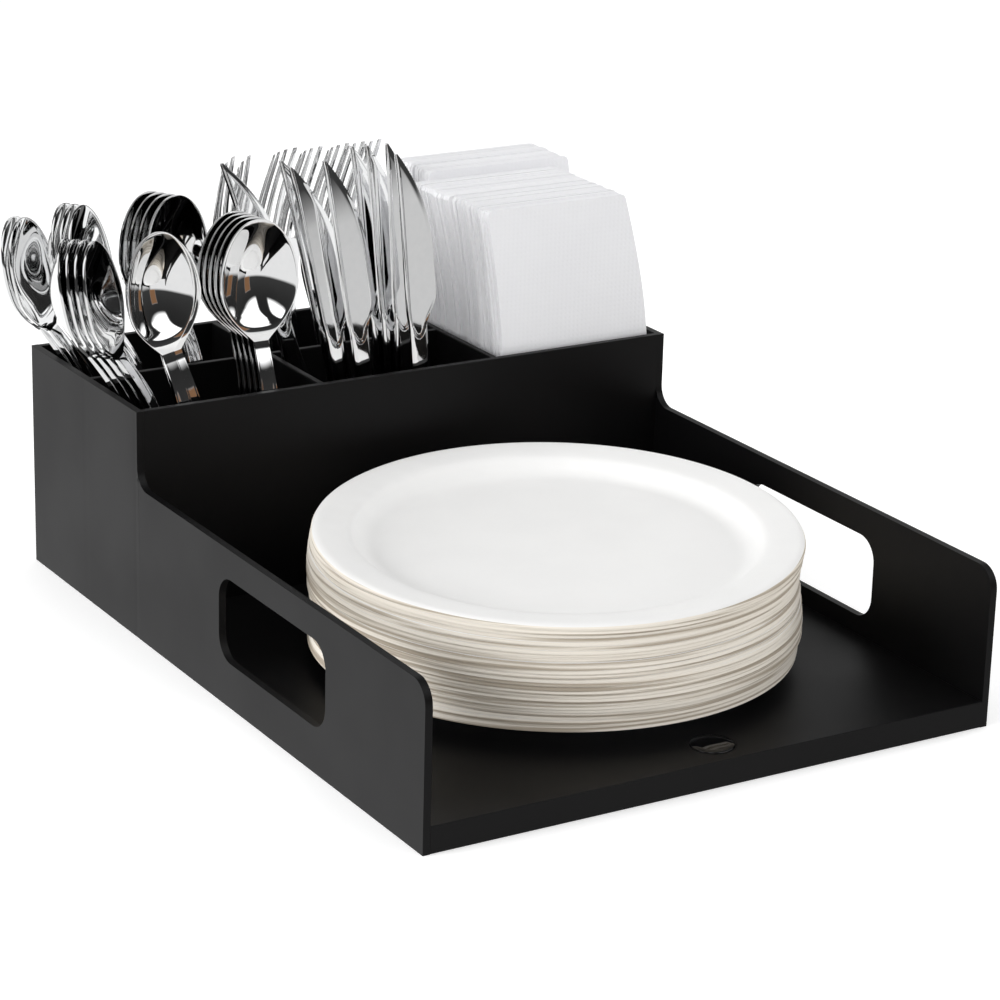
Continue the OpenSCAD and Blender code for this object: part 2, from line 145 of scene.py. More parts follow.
def islands_of(node: str) -> list[np.ndarray]:
    """The separate solids of a CAD node, each as its points in millimetres.

    Args:
        node: Name of the CAD node.

    Returns:
        One array of points for each solid, in the order of their middles from the floor up and
        from the front to the back.
    """
    bm = merged_copy(node)
    left = set(bm.verts)
    found = []
    while left:
        stack = [left.pop()]
        group = []
        while stack:
            vert = stack.pop()
            group.append(tuple(vert.co))
            for edge in vert.link_edges:
                other = edge.other_vert(vert)
                if other in left:
                    left.remove(other)
                    stack.append(other)
        found.append(np.array(group))
    bm.free()
    return sorted(found, key=lambda points: tuple(points.mean(0)[[2, 1]].round(2)))


def body_of(node: str) -> str:
    """Name of the body that a CAD node rides on."""
    return frame["nodes"][node]["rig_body"]


def hand_over(
    bm: bmesh.types.BMesh, name: str, node: str, slot: Slot, materials: Sequence[bpy.types.Material]
) -> bpy.types.Object:
    """Turns a finished mesh in millimetres into a piece that stands for a CAD node.

    Args:
        bm: The mesh, which is freed.
        name: Name of the piece.
        node: CAD node that it replaces.
        slot: Material slot of the record, which is passed on and not used.
        materials: Materials by face index.

    Returns:
        The piece.
    """
    mesh = bpy.data.meshes.new(name)
    bmesh.ops.scale(bm, vec=Vector((MM, MM, MM)), verts=bm.verts[:])
    bm.to_mesh(mesh)
    bm.free()
    return hand_over_mesh(mesh, name, node, slot, materials)


def hand_over_mesh(
    mesh: bpy.types.Mesh, name: str, node: str, slot: Slot, materials: Sequence[bpy.types.Material]
) -> bpy.types.Object:
    """Makes a piece of a finished mesh in metres and ties it to the frame.

    Args:
        mesh: The mesh.
        name: Name of the piece.
        node: CAD node that it replaces.
        slot: Material slot of the record; not used.
        materials: Materials by face index.

    Returns:
        The piece.
    """
    for material in materials:
        mesh.materials.append(material)
    piece = bpy.data.objects.new(name, mesh)
    bpy.context.scene.collection.objects.link(piece)
    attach(piece, body_of(node))
    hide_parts(node)
    LOG.info("%s stands for %s, %d faces", name, node, len(mesh.polygons))
    return piece


def smooth(mesh: bpy.types.Mesh, sharp_degrees: float) -> None:
    """Shades a mesh smooth, apart from edges sharper than the angle."""
    mesh.shade_smooth()
    mesh.set_sharp_from_angle(angle=math.radians(sharp_degrees))


# Finishes


class Graph:
    """A node tree with short calls that add and join its nodes."""

    def __init__(self, tree: bpy.types.NodeTree) -> None:
        """Empties the tree."""
        self.tree = tree
        tree.nodes.clear()

    def add(self, kind: str, **settings: object) -> bpy.types.Node:
        """Adds a node.

        Args:
            kind: Blender's name for the kind of node.
            **settings: Attributes to set on it.

        Returns:
            The node.
        """
        node = self.tree.nodes.new(kind)
        for key, value in settings.items():
            setattr(node, key, value)
        return node

    def join(self, source: bpy.types.NodeSocket, target: bpy.types.NodeSocket) -> None:
        """Links two sockets."""
        self.tree.links.new(source, target)

    def put(self, value: object, target: bpy.types.NodeSocket) -> None:
        """Links a socket or writes a plain value into the target.

        Args:
            value: The socket or the plain value.
            target: The input that takes it.
        """
        if isinstance(value, bpy.types.NodeSocket):
            self.join(value, target)
        else:
            target.default_value = value

    def sum(self, operation: str, first: object, second: object = 0.0) -> bpy.types.NodeSocket:
        """Adds a math node.

        Args:
            operation: Blender's name for the operation.
            first: First value or socket.
            second: Second value or socket, where the operation takes one.

        Returns:
            The result's socket.
        """
        node = self.add("ShaderNodeMath", operation=operation)
        self.put(first, node.inputs[0])
        self.put(second, node.inputs[1])
        return node.outputs[0]

    def noise(
        self, where: bpy.types.NodeSocket, scale: float, detail: float = 2.0
    ) -> bpy.types.NodeSocket:
        """Adds soft noise from 0 to 1.

        Args:
            where: Coordinates that it follows.
            scale: Waves a metre.
            detail: Number of finer layers of noise.

        Returns:
            The noise's socket.
        """
        node = self.add("ShaderNodeTexNoise")
        self.join(where, node.inputs["Vector"])
        node.inputs["Scale"].default_value = scale
        node.inputs["Detail"].default_value = detail
        return node.outputs["Fac"]

    def range(
        self, value: bpy.types.NodeSocket, source: tuple[float, float], target: tuple[float, float]
    ) -> bpy.types.NodeSocket:
        """Changes a value smoothly from one range to another.

        Args:
            value: The value's socket.
            source: Its own range, outside which it is clamped.
            target: The range that it gets.

        Returns:
            The result's socket.
        """
        node = self.add("ShaderNodeMapRange", interpolation_type="SMOOTHSTEP")
        self.join(value, node.inputs["Value"])
        sockets = ("From Min", "From Max", "To Min", "To Max")
        for socket, number in zip(sockets, (*source, *target)):
            node.inputs[socket].default_value = number
        return node.outputs["Result"]

    def blend(
        self, share: object, first: object, second: object, way: str = "MIX"
    ) -> bpy.types.NodeSocket:
        """Blends two colours.

        Args:
            share: Share of the second colour, as a value or socket.
            first: First colour or socket.
            second: Second colour or socket.
            way: Blender's name for the way of blending.

        Returns:
            The colour's socket.
        """
        node = self.add("ShaderNodeMix", data_type="RGBA", blend_type=way)
        for value, socket in zip((share, first, second), MIX_INPUTS):
            if isinstance(value, tuple):
                value = (*value, 1.0)
            self.put(value, node.inputs[socket])
        return node.outputs[MIX_OUTPUT]

    def stretched(
        self, where: bpy.types.NodeSocket, scale: Sequence[float]
    ) -> bpy.types.NodeSocket:
        """Scales coordinates along each axis.

        Args:
            where: The coordinates' socket.
            scale: Factor for each axis.

        Returns:
            The scaled coordinates' socket.
        """
        node = self.add("ShaderNodeMapping")
        self.join(where, node.inputs["Vector"])
        node.inputs["Scale"].default_value = tuple(scale)
        return node.outputs["Vector"]

    def bump(
        self,
        height: bpy.types.NodeSocket,
        depth_mm: float,
        under: bpy.types.NodeSocket | None = None,
    ) -> bpy.types.NodeSocket:
        """Adds a bump.

        Args:
            height: Share of the depth at each place.
            depth_mm: Its depth in millimetres, below 0 for a dent.
            under: Another bump, on top of which it lies.

        Returns:
            The normal's socket.
        """
        node = self.add("ShaderNodeBump")
        node.inputs["Strength"].default_value = 1.0
        node.inputs["Distance"].default_value = depth_mm * MM
        self.join(height, node.inputs["Height"])
        if under is not None:
            self.join(under, node.inputs["Normal"])
        return node.outputs["Normal"]


@dataclass(frozen=True)
class Finish:
    """What every finish has: a name, a deep and a pale colour, and a roughness range."""

    name: str
    deep: Colour
    pale: Colour
    roughness: tuple[float, float]
    grain_range: tuple[float, float] = (0.3, 0.7)

    def start(self) -> tuple[bpy.types.Material, Graph, bpy.types.Node, bpy.types.NodeSocket]:
        """Makes the material with its shader.

        Returns:
            The material, its graph, its shader node and its object coordinates.
        """
        material = bpy.data.materials.new(self.name)
        material.use_nodes = True
        graph = Graph(material.node_tree)
        shader = graph.add("ShaderNodeBsdfPrincipled")
        output = graph.add("ShaderNodeOutputMaterial")
        graph.join(shader.outputs[0], output.inputs[0])
        where = graph.add("ShaderNodeTexCoord").outputs["Object"]
        return material, graph, shader, where

    def coat(
        self,
        graph: Graph,
        shader: bpy.types.Node,
        tone: bpy.types.NodeSocket,
        grain: bpy.types.NodeSocket,
    ) -> None:
        """Gives the shader its colour and roughness.

        Args:
            graph: The material's graph.
            shader: Its shader node.
            tone: Share of the pale colour.
            grain: Noise that the roughness follows.
        """
        graph.join(graph.blend(tone, self.deep, self.pale), shader.inputs["Base Color"])
        rough = graph.range(grain, self.grain_range, self.roughness)
        graph.join(rough, shader.inputs["Roughness"])


@dataclass(frozen=True)
class MouldedPlastic(Finish):
    """Black moulded plastic: faint mottling and a fine grain."""

    mottle: float = 14.0
    mottle_detail: float = 4.0
    grain: float = 1500.0
    grain_mm: float = 0.004
    specular: float = 0.2

    def make(self) -> bpy.types.Material:
        """Builds the material.

        Returns:
            The material.
        """
        material, graph, shader, where = self.start()
        shader.inputs["Specular IOR Level"].default_value = self.specular
        cloud = graph.noise(where, self.mottle, self.mottle_detail)
        self.coat(graph, shader, cloud, cloud)
        fine = graph.noise(where, self.grain)
        graph.join(graph.bump(fine, self.grain_mm), shader.inputs["Normal"])
        return material


@dataclass(frozen=True)
class MirrorMetal(Finish):
    """Bright plated metal, whose surface is very slightly wavy."""

    grain_range: tuple[float, float] = (0.35, 0.7)
    haze: float = 240.0
    haze_detail: float = 3.0
    wave: float = 70.0
    wave_detail: float = 1.0
    wave_mm: float = 0.03

    def make(self) -> bpy.types.Material:
        """Builds the material.

        Returns:
            The material.
        """
        material, graph, shader, where = self.start()
        shader.inputs["Metallic"].default_value = 1.0
        haze = graph.noise(where, self.haze, self.haze_detail)
        self.coat(graph, shader, haze, haze)
        waves = graph.noise(where, self.wave, self.wave_detail)
        graph.join(graph.bump(waves, self.wave_mm), shader.inputs["Normal"])
        return material


@dataclass(frozen=True)
class NapkinPaper(Finish):
    """Soft white tissue with fibres and a fine diagonal row of pressed dots."""

    sheen: float = 0.15
    cloud: float = 45.0
    cloud_detail: float = 3.0
    dots_a_metre: float = 430.0
    dot_mm: float = 0.045
    dot_range: tuple[float, float] = (0.1, 0.75)
    fibre: float = 900.0
    fibre_detail: float = 4.0
    fibre_mm: float = 0.035
    fibre_stretch: tuple[float, float, float] = (1.0, 1.0, 0.45)

    def make(self) -> bpy.types.Material:
        """Builds the material.

        Returns:
            The material.
        """
        material, graph, shader, where = self.start()
        shader.inputs["Sheen Weight"].default_value = self.sheen
        spread = graph.stretched(where, self.fibre_stretch)
        fibres = graph.noise(spread, self.fibre, self.fibre_detail)
        self.coat(graph, shader, graph.noise(where, self.cloud, self.cloud_detail), fibres)
        parts = graph.add("ShaderNodeSeparateXYZ")
        graph.join(where, parts.inputs[0])
        turn = self.dots_a_metre * math.pi
        waves = []
        for operation in ("ADD", "SUBTRACT"):
            along = graph.sum(operation, parts.outputs[0], parts.outputs[2])
            waves.append(graph.sum("COSINE", graph.sum("MULTIPLY", along, turn)))
        dots = graph.range(graph.sum("MULTIPLY", *waves), self.dot_range, (0.0, 1.0))
        low = graph.bump(fibres, self.fibre_mm)
        graph.join(graph.bump(dots, -self.dot_mm, low), shader.inputs["Normal"])
        return material


@dataclass(frozen=True)
class PlateBoard(Finish):
    """Pressed paper board: fine fibres, tone in patches, and a slight gloss from its coating. On
    the plates' cut edges the colour is painted shade, and the patches are level bands of painted
    shade between the stacked rims.
    """

    specular: float = 0.35
    fibre: float = 700.0
    fibre_detail: float = 3.0
    fibre_mm: float = 0.012
    stretch: tuple[float, float, float] = (1.0, 1.0, 1.0)
    tone_scale: float = 30.0
    tone_detail: float = 4.0
    tone_range: tuple[float, float] = (0.34, 0.66)

    def make(self) -> bpy.types.Material:
        """Builds the material.

        Returns:
            The material.
        """
        material, graph, shader, where = self.start()
        shader.inputs["Specular IOR Level"].default_value = self.specular
        spread = graph.stretched(where, self.stretch)
        cloud = graph.noise(spread, self.tone_scale, self.tone_detail)
        tone = graph.range(cloud, self.tone_range, (0.0, 1.0))
        fibres = graph.noise(spread, self.fibre, self.fibre_detail)
        self.coat(graph, shader, tone, fibres)
        graph.join(graph.bump(fibres, self.fibre_mm), shader.inputs["Normal"])
        return material


@dataclass
class Finishes:
    """Every material of the caddy and its contents."""

    black: bpy.types.Material = field(init=False)
    badge: bpy.types.Material = field(init=False)
    metal: bpy.types.Material = field(init=False)
    napkin: bpy.types.Material = field(init=False)
    board: bpy.types.Material = field(init=False)
    board_edge_painted_shade: bpy.types.Material = field(init=False)

    def __post_init__(self) -> None:
        """Builds them."""
        self.black = MouldedPlastic(
            "satin_black_plastic", (0.0028, 0.0027, 0.003), (0.0038, 0.0037, 0.004), (0.44, 0.5)
        ).make()
        self.badge = MouldedPlastic(
            "gloss_black_badge",
            (0.002, 0.002, 0.0022),
            (0.003, 0.003, 0.0033),
            (0.05, 0.1),
            grain_mm=0.0004,
            specular=0.5,
        ).make()
        self.metal = MirrorMetal(
            "mirror_plated_metal", (0.86, 0.865, 0.87), (0.93, 0.93, 0.93), (0.02, 0.05)
        ).make()
        self.napkin = NapkinPaper(
            "white_napkin_paper", (0.83, 0.83, 0.85), (0.87, 0.87, 0.885), (0.82, 0.95)
        ).make()
        self.board = PlateBoard(
            "white_plate_board", (0.842, 0.839, 0.831), (0.858, 0.855, 0.846), (0.42, 0.6)
        ).make()
        # Cut edges of the plates: the warm, darker board colour is painted shade for edges in
        # shadow, and its thin level bands of the deep colour are painted shade between the stacked
        # rims.
        self.board_edge_painted_shade = PlateBoard(
            "cut_plate_edge_painted_shade",
            (0.43, 0.37, 0.295),
            (0.83, 0.775, 0.69),
            (0.6, 0.8),
            stretch=(1.0, 1.0, 80.0),
            tone_scale=8.0,
            tone_range=(0.4, 0.56),
            fibre=90.0,
            fibre_mm=0.03,
        ).make()


# Camera, floor and light


@dataclass(frozen=True)
class SoftBox:
    """A soft-edged panel of light in the world, which only reflections show.

    Angles are in degrees. A turn is 0 at the front and grows to the right. A rise is 0 at eye
    level and grows upwards.
    """

    turns: tuple[float, float]
    rises: tuple[float, float]
    level: float
    soft: float = 3.0


@dataclass(frozen=True)
class Studio:
    """The photograph's view, a pale floor and soft studio light.

    The camera's place and shifts are in millimetres, and the lamps' places are in metres.
    """

    azimuth: float = -31.36
    elevation: float = 19.21
    roll: float = -1.50
    distance: float = 1504.14
    target: tuple[float, float, float] = (0.0, -20.0, 42.0)
    shift_right: float = -5.54
    shift_down: float = -29.22
    lens: float = 121.02
    sensor: float = 36.0
    clip: tuple[float, float] = (0.05, 60.0)
    floor_size: float = 30.0
    floor_colour: Colour = (0.93, 0.93, 0.93)
    floor_lift: float = 0.3
    plain_level: float = 0.69
    room_rises: tuple[float, float] = (-30.0, 40.0)
    room_levels: tuple[float, float] = (0.05, 0.02)
    soft_boxes: tuple[SoftBox, ...] = (
        SoftBox((-54, -22), (26, 64), 1.5),
        SoftBox((11, 70), (25, 75), 1.5),
        SoftBox((-112, -74), (12, 60), 1.0),
        SoftBox((84, 112), (16, 56), 0.9),
        SoftBox((-104, 40), (-95, -9), 0.85),
        SoftBox((38, 72), (-95, -11), 0.62, 4.0),
        SoftBox((68, 126), (-95, -22), 0.14, 5.0),
        SoftBox((122, 300), (-95, 4), 1.1, 4.0),
        SoftBox((-300, -100), (-95, 4), 1.1, 4.0),
        SoftBox((126, 300), (2, 46), 0.75),
        SoftBox((-300, -126), (2, 46), 0.35),
        SoftBox((-300, 300), (80, 95), 1.2),
    )
    brown_tint: SoftBox = SoftBox((24, 42), (-9, 13), 1.0, 1.0)
    brown_box: SoftBox = SoftBox((24, 42), (-9, 13), 0.6, 1.0)
    brown: Colour = (0.36, 0.19, 0.1)

    def camera(self) -> None:
        """Makes the camera at the photograph's viewing angle."""
        turn, rise, roll = (math.radians(a) for a in (self.azimuth, self.elevation, self.roll))
        ahead = Vector(
            (-math.sin(turn) * math.cos(rise), math.cos(turn) * math.cos(rise), -math.sin(rise))
        )
        right = Vector((math.cos(turn), math.sin(turn), 0.0))
        down = ahead.cross(right)
        place = Vector(self.target) - ahead * self.distance
        place = place + right * self.shift_right + down * self.shift_down
        rolled_right = right * math.cos(roll) + down * math.sin(roll)
        rolled_down = down * math.cos(roll) - right * math.sin(roll)
        lens = bpy.data.cameras.new("photo_camera")
        lens.lens, lens.sensor_width = self.lens, self.sensor
        lens.clip_start, lens.clip_end = self.clip
        camera = bpy.data.objects.new("photo_camera", lens)
        bpy.context.scene.collection.objects.link(camera)
        axes = Matrix((rolled_right, -rolled_down, -ahead)).transposed()
        camera.matrix_world = Matrix.LocRotScale(place * MM, axes.to_quaternion(), None)
        bpy.context.scene.camera = camera

    def floor(self) -> None:
        """Makes the floor, which renders white away from the object's shadow."""
        bm = bmesh.new()
        bmesh.ops.create_grid(bm, x_segments=1, y_segments=1, size=self.floor_size / 2)
        mesh = bpy.data.meshes.new("pale_floor")
        bm.to_mesh(mesh)
        bm.free()
        material = bpy.data.materials.new("pale_floor")
        material.use_nodes = True
        graph = Graph(material.node_tree)
        paint = graph.add("ShaderNodeBsdfDiffuse")
        paint.inputs["Color"].default_value = (*self.floor_colour, 1.0)
        lift = graph.add("ShaderNodeEmission")
        path = graph.add("ShaderNodeLightPath")
        seen = graph.sum("MAXIMUM", path.outputs["Is Camera Ray"], path.outputs["Is Glossy Ray"])
        graph.join(graph.sum("MULTIPLY", seen, self.floor_lift), lift.inputs["Strength"])
        both = graph.add("ShaderNodeAddShader")
        graph.join(paint.outputs[0], both.inputs[0])
        graph.join(lift.outputs[0], both.inputs[1])
        output = graph.add("ShaderNodeOutputMaterial")
        graph.join(both.outputs[0], output.inputs[0])
        mesh.materials.append(material)
        floor = bpy.data.objects.new("pale_floor", mesh)
        bpy.context.scene.collection.objects.link(floor)
        floor.visible_glossy = False

    def lamp(
        self, name: str, place: tuple[float, float, float], size: float, power: float
    ) -> None:
        """Adds a soft square lamp that looks at the object.

        Args:
            name: Name of the lamp.
            place: Where it is, in metres.
            size: Side of the square, in metres.
            power: Power in watts.
        """
        light = bpy.data.lights.new(name, "AREA")
        light.shape, light.size, light.energy = "SQUARE", size, power
        lamp = bpy.data.objects.new(name, light)
        bpy.context.scene.collection.objects.link(lamp)
        lamp.location = place
        lamp.rotation_euler = (-Vector(place)).to_track_quat("-Z", "Y").to_euler()
        lamp.visible_glossy = False

    def world(self) -> None:
        """Lights the scene plainly, and shows the polished pieces a studio room with soft boxes."""
        world = bpy.data.worlds.new("studio")
        bpy.context.scene.world = world
        world.use_nodes = True
        graph = Graph(world.node_tree)
        parts = graph.add("ShaderNodeSeparateXYZ")
        graph.join(graph.add("ShaderNodeTexCoord").outputs["Generated"], parts.inputs[0])
        across, back, up = parts.outputs
        degrees = 180 / math.pi
        rise = graph.sum("MULTIPLY", graph.sum("ARCSINE", up), degrees)
        front = graph.sum("MULTIPLY", back, -1.0)
        turn = graph.sum("MULTIPLY", graph.sum("ARCTAN2", across, front), degrees)

        def light_of(box: SoftBox) -> bpy.types.NodeSocket:
            """Adds a panel of light.

            Args:
                box: Its angles, level and softness.

            Returns:
                The light in each direction.
            """
            total = None
            for angle, limits, level in ((turn, box.turns, box.level), (rise, box.rises, 1.0)):
                low, high = limits
                for edge, target in ((low, (0.0, level)), (high, (1.0, 0.0))):
                    share = graph.range(angle, (edge - box.soft, edge + box.soft), target)
                    total = share if total is None else graph.sum("MULTIPLY", total, share)
            return total

        room = graph.range(rise, self.room_rises, self.room_levels)
        for box in self.soft_boxes:
            room = graph.sum("MAXIMUM", room, light_of(box))
        white = (1.0, 1.0, 1.0)
        tint = graph.blend(light_of(self.brown_tint), white, self.brown)
        room = graph.sum("ADD", room, light_of(self.brown_box))
        grey = graph.add("ShaderNodeCombineColor")
        for socket in grey.inputs:
            graph.join(room, socket)
        tinted = graph.blend(1.0, grey.outputs[0], tint, "MULTIPLY")
        path = graph.add("ShaderNodeLightPath")
        level = graph.blend(path.outputs["Is Camera Ray"], (self.plain_level,) * 3, white)
        light = graph.blend(path.outputs["Is Glossy Ray"], level, tinted)
        background = graph.add("ShaderNodeBackground")
        graph.join(light, background.inputs["Color"])
        output = graph.add("ShaderNodeOutputWorld")
        graph.join(background.outputs[0], output.inputs[0])

    def build(self) -> None:
        """Makes the camera, the floor, the lamps and the world."""
        bpy.context.scene.view_settings.view_transform = "Standard"
        self.camera()
        self.floor()
        self.world()
        self.lamp("overhead_lamp", (0.1, 0.1, 1.7), 1.4, 2.6)
        self.lamp("right_lamp", (1.8, 0.0, 0.4), 1.0, 15.0)
        self.lamp("left_lamp", (-1.8, 0.05, 0.5), 1.0, 30.0)
        self.lamp("front_lamp", (-0.3, -1.8, 0.5), 1.0, 3.5)


# The caddy's walls


@dataclass
class CaddyWalls:
    """The black moulding, panel by panel. Sizes are in millimetres."""

    finishes: Finishes
    outer_round: float = 0.9
    inner_share: float = 0.5
    sharp_degrees: float = 30.0
    flat_angle: float = 1.0
    flat_facing: float = 0.99
    flat_area: float = 400.0
    flat_frame: float = 1.6
    rim_z: float = 107.5
    front_y: float = -188.0
    back_y: float = 188.0
    inner_x: float = 136.6
    wall: float = 3.4
    near: float = 0.1
    along: float = 0.9
    sink_mm: float = 0.05
    sink_half: float = 2.6
    sink_lines: tuple[float, ...] = (73.7, 127.9)
    cross_walls: tuple[str, ...] = ("bin_front_wall", "bin_back_wall", "cross_divider")
    dividers: tuple[str, ...] = ("cutlery_divider", "napkin_divider")
    badge_steps: int = 96
    badge_bevel: float = 0.3
    badge_dome: float = 0.12
    badge_ring: float = 0.3
    badge_ring_rise: float = 0.7
    badge_shading: float = 50.0

    def weigh(
        self, bm: bmesh.types.BMesh, rule: Callable[[Vector, Vector], float]
    ) -> None:
        """Gives each sharp edge the bevel weight that the rule says.

        Args:
            bm: The panel.
            rule: Takes the edge's middle and its direction, and returns a weight.
        """
        weights = bm.edges.layers.float.new("bevel_weight_edge")
        sharp = math.radians(self.sharp_degrees)
        for edge in bm.edges:
            if len(edge.link_faces) == 2 and edge.calc_face_angle(0.0) > sharp:
                first, second = (v.co for v in edge.verts)
                edge[weights] = rule((first + second) / 2, (second - first).normalized())

    def frame_flats(self, bm: bmesh.types.BMesh, way: Vector) -> None:
        """Frames the large flat faces across a direction, so that their shading stays flat.

        Args:
            bm: The panel.
            way: The direction that the faces look along, or away from.
        """
        for sign in (1, -1):
            flats = [
                face
                for face in bm.faces
                if face.normal.dot(way) * sign > self.flat_facing
                and face.calc_area() > self.flat_area
            ]
            if flats:
                thickness = self.outer_round * self.flat_frame
                bmesh.ops.inset_region(bm, faces=flats, thickness=thickness)

    def finish(self, bm: bmesh.types.BMesh, node: str) -> None:
        """Rounds the weighted edges and hands the panel over.

        Args:
            bm: The panel, in millimetres.
            node: The CAD node that it copies.
        """
        piece = hand_over(bm, f"moulded_{node}", node, Slot.BLACK, [self.finishes.black])
        smooth(piece.data, self.sharp_degrees)
        bevel = piece.modifiers.new("rounded_edges", "BEVEL")
        bevel.limit_method = "WEIGHT"
        bevel.width = self.outer_round * MM
        bevel.segments = 3
        bevel.profile = 0.5
        bevel.harden_normals = True
        bevel.use_clamp_overlap = True

    def clean(self, node: str) -> bmesh.types.BMesh:
        """A panel's merged copy with its flat faces whole.

        Args:
            node: The CAD node.

        Returns:
            The copy in millimetres.
        """
        bm = merged_copy(node)
        bmesh.ops.dissolve_limit(
            bm,
            angle_limit=math.radians(self.flat_angle),
            verts=bm.verts[:],
            edges=bm.edges[:],
            use_dissolve_boundaries=False,
            delimit={"NORMAL"},
        )
        return bm

    def panel(self, node: str, outer_x: float) -> None:
        """Makes a side panel with round edges and faint sink lines where the walls meet it.

        Args:
            node: The CAD node.
            outer_x: Where its outer face is.
        """
        bm = self.clean(node)
        inward = -math.copysign(1.0, outer_x)
        on_face = 0.01
        for line in self.sink_lines:
            for place in (line - self.sink_half, line, line + self.sink_half):
                bmesh.ops.bisect_plane(
                    bm,
                    geom=bm.verts[:] + bm.edges[:] + bm.faces[:],
                    dist=0.0001,
                    plane_co=(0, place, 0),
                    plane_no=(0, 1, 0),
                )
            for vert in bm.verts:
                if abs(vert.co.y - line) < on_face and abs(vert.co.x - outer_x) < on_face:
                    vert.co.x += inward * self.sink_mm

        def rule(middle: Vector, way: Vector) -> float:
            """Full rounding outside, less inside, none where the other walls are flush.

            Args:
                middle: Middle of the edge.
                way: Its direction; not used.

            Returns:
                The bevel weight.
            """
            inside = abs(middle.x) < self.inner_x + self.near
            if inside and (middle.y > self.back_y - self.near or middle.z < self.near):
                return 0.0
            return self.inner_share if inside and middle.y > self.sink_lines[0] else 1.0

        self.weigh(bm, rule)
        self.frame_flats(bm, Vector((1, 0, 0)))
        self.finish(bm, node)

    def straight_wall(self, node: str) -> None:
        """Makes a wall whose two long top edges are rounded.

        Args:
            node: The CAD node.
        """
        bm = self.clean(node)

        def rule(middle: Vector, way: Vector) -> float:
            """Rounds the long edges at the rim.

            Args:
                middle: Middle of the edge.
                way: Its direction.

            Returns:
                The bevel weight.
            """
            at_rim = middle.z > self.rim_z - self.near
            lengthways = abs(way.y if node in self.dividers else way.x) > self.along
            return self.inner_share if at_rim and lengthways else 0.0

        self.weigh(bm, rule)
        self.finish(bm, node)

    def base(self) -> None:
        """Makes the floor with its front lip, whose long edges are rounded."""
        bm = self.clean("tray_base")

        def rule(middle: Vector, way: Vector) -> float:
            """Rounds the long edges of the lip's front."""
            at_front = middle.y < self.front_y + self.near
            return 1.0 if at_front and abs(way.x) > self.along else 0.0

        self.weigh(bm, rule)
        self.frame_flats(bm, Vector((0, 0, 1)))
        self.finish(bm, "tray_base")

    def badge(self) -> None:
        """Makes the bare glossy badge, a slightly domed disc in its seat."""
        low, high = (Vector(corner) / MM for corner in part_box("floor_badge"))
        radius = (high.x - low.x) / 2
        height = high.z - low.z
        bm = bmesh.new()
        bmesh.ops.create_circle(bm, cap_ends=True, segments=self.badge_steps, radius=radius)
        grown = bmesh.ops.extrude_face_region(bm, geom=bm.faces[:])["geom"]
        top = [g for g in grown if isinstance(g, bmesh.types.BMVert)]
        bmesh.ops.translate(bm, vec=(0, 0, height), verts=top)
        bm.faces.ensure_lookup_table()
        lid = max(bm.faces, key=lambda face: face.calc_center_median().z)
        ring = radius * self.badge_ring
        for depth in (self.badge_bevel, ring, ring):
            bmesh.ops.inset_region(bm, faces=[lid], thickness=depth)
        for vert in lid.verts:
            vert.co.z += self.badge_dome * self.badge_ring_rise
        poke = bmesh.ops.poke(bm, faces=[lid])
        for vert in poke["verts"]:
            vert.co.z = height + self.badge_dome
        edge_radius = radius - self.badge_bevel / 2
        for vert in bm.verts:
            if vert.co.z > height / 2 and math.hypot(vert.co.x, vert.co.y) > edge_radius:
                vert.co.z -= self.badge_bevel
        bmesh.ops.recalc_face_normals(bm, faces=bm.faces[:])
        centre = ((low.x + high.x) / 2, (low.y + high.y) / 2, low.z)
        bmesh.ops.translate(bm, vec=centre, verts=bm.verts[:])
        piece = hand_over(bm, "bare_floor_badge", "floor_badge", Slot.BADGE, [self.finishes.badge])
        smooth(piece.data, self.badge_shading)

    def build(self) -> None:
        """Makes every wall and the badge."""
        self.panel("left_side_panel", -self.inner_x - self.wall)
        self.panel("right_side_panel", self.inner_x + self.wall)
        for node in (*self.cross_walls, *self.dividers):
            self.straight_wall(node)
        self.base()
        self.badge()


# Cutlery

# Angle between two faces past which the edge of a thin solid is rounded.
RIM_DEGREES = 48


class Kind(Enum):
    """Kinds of cutlery."""

    SPOON = "spoon"
    FORK = "fork"
    KNIFE = "knife"


@dataclass
class Handle:
    """What the three kinds share: a flat handle with a round foot. Sizes are in millimetres."""

    foot_width: float = 16.0
    blunt_foot: float = 0.06

    def half(self, z: float, neck_z: float, neck_width: float) -> float:
        """Half width of the handle.

        Args:
            z: Height.
            neck_z: Height of the neck.
            neck_width: Width of the neck.

        Returns:
            The half width at the height.
        """
        end = self.foot_width / 2
        round_off = math.sqrt(max(self.blunt_foot, 1 - max(0.0, 1 - z / end) ** 2))
        return mix(end, neck_width / 2, ease(z / neck_z)) * round_off

    def foot_rows(self, count: int) -> list[float]:
        """Heights across the round foot, closer together at the end."""
        end = self.foot_width / 2
        return [end * (1 - math.cos(math.pi / 2 * i / count)) for i in range(count + 1)]


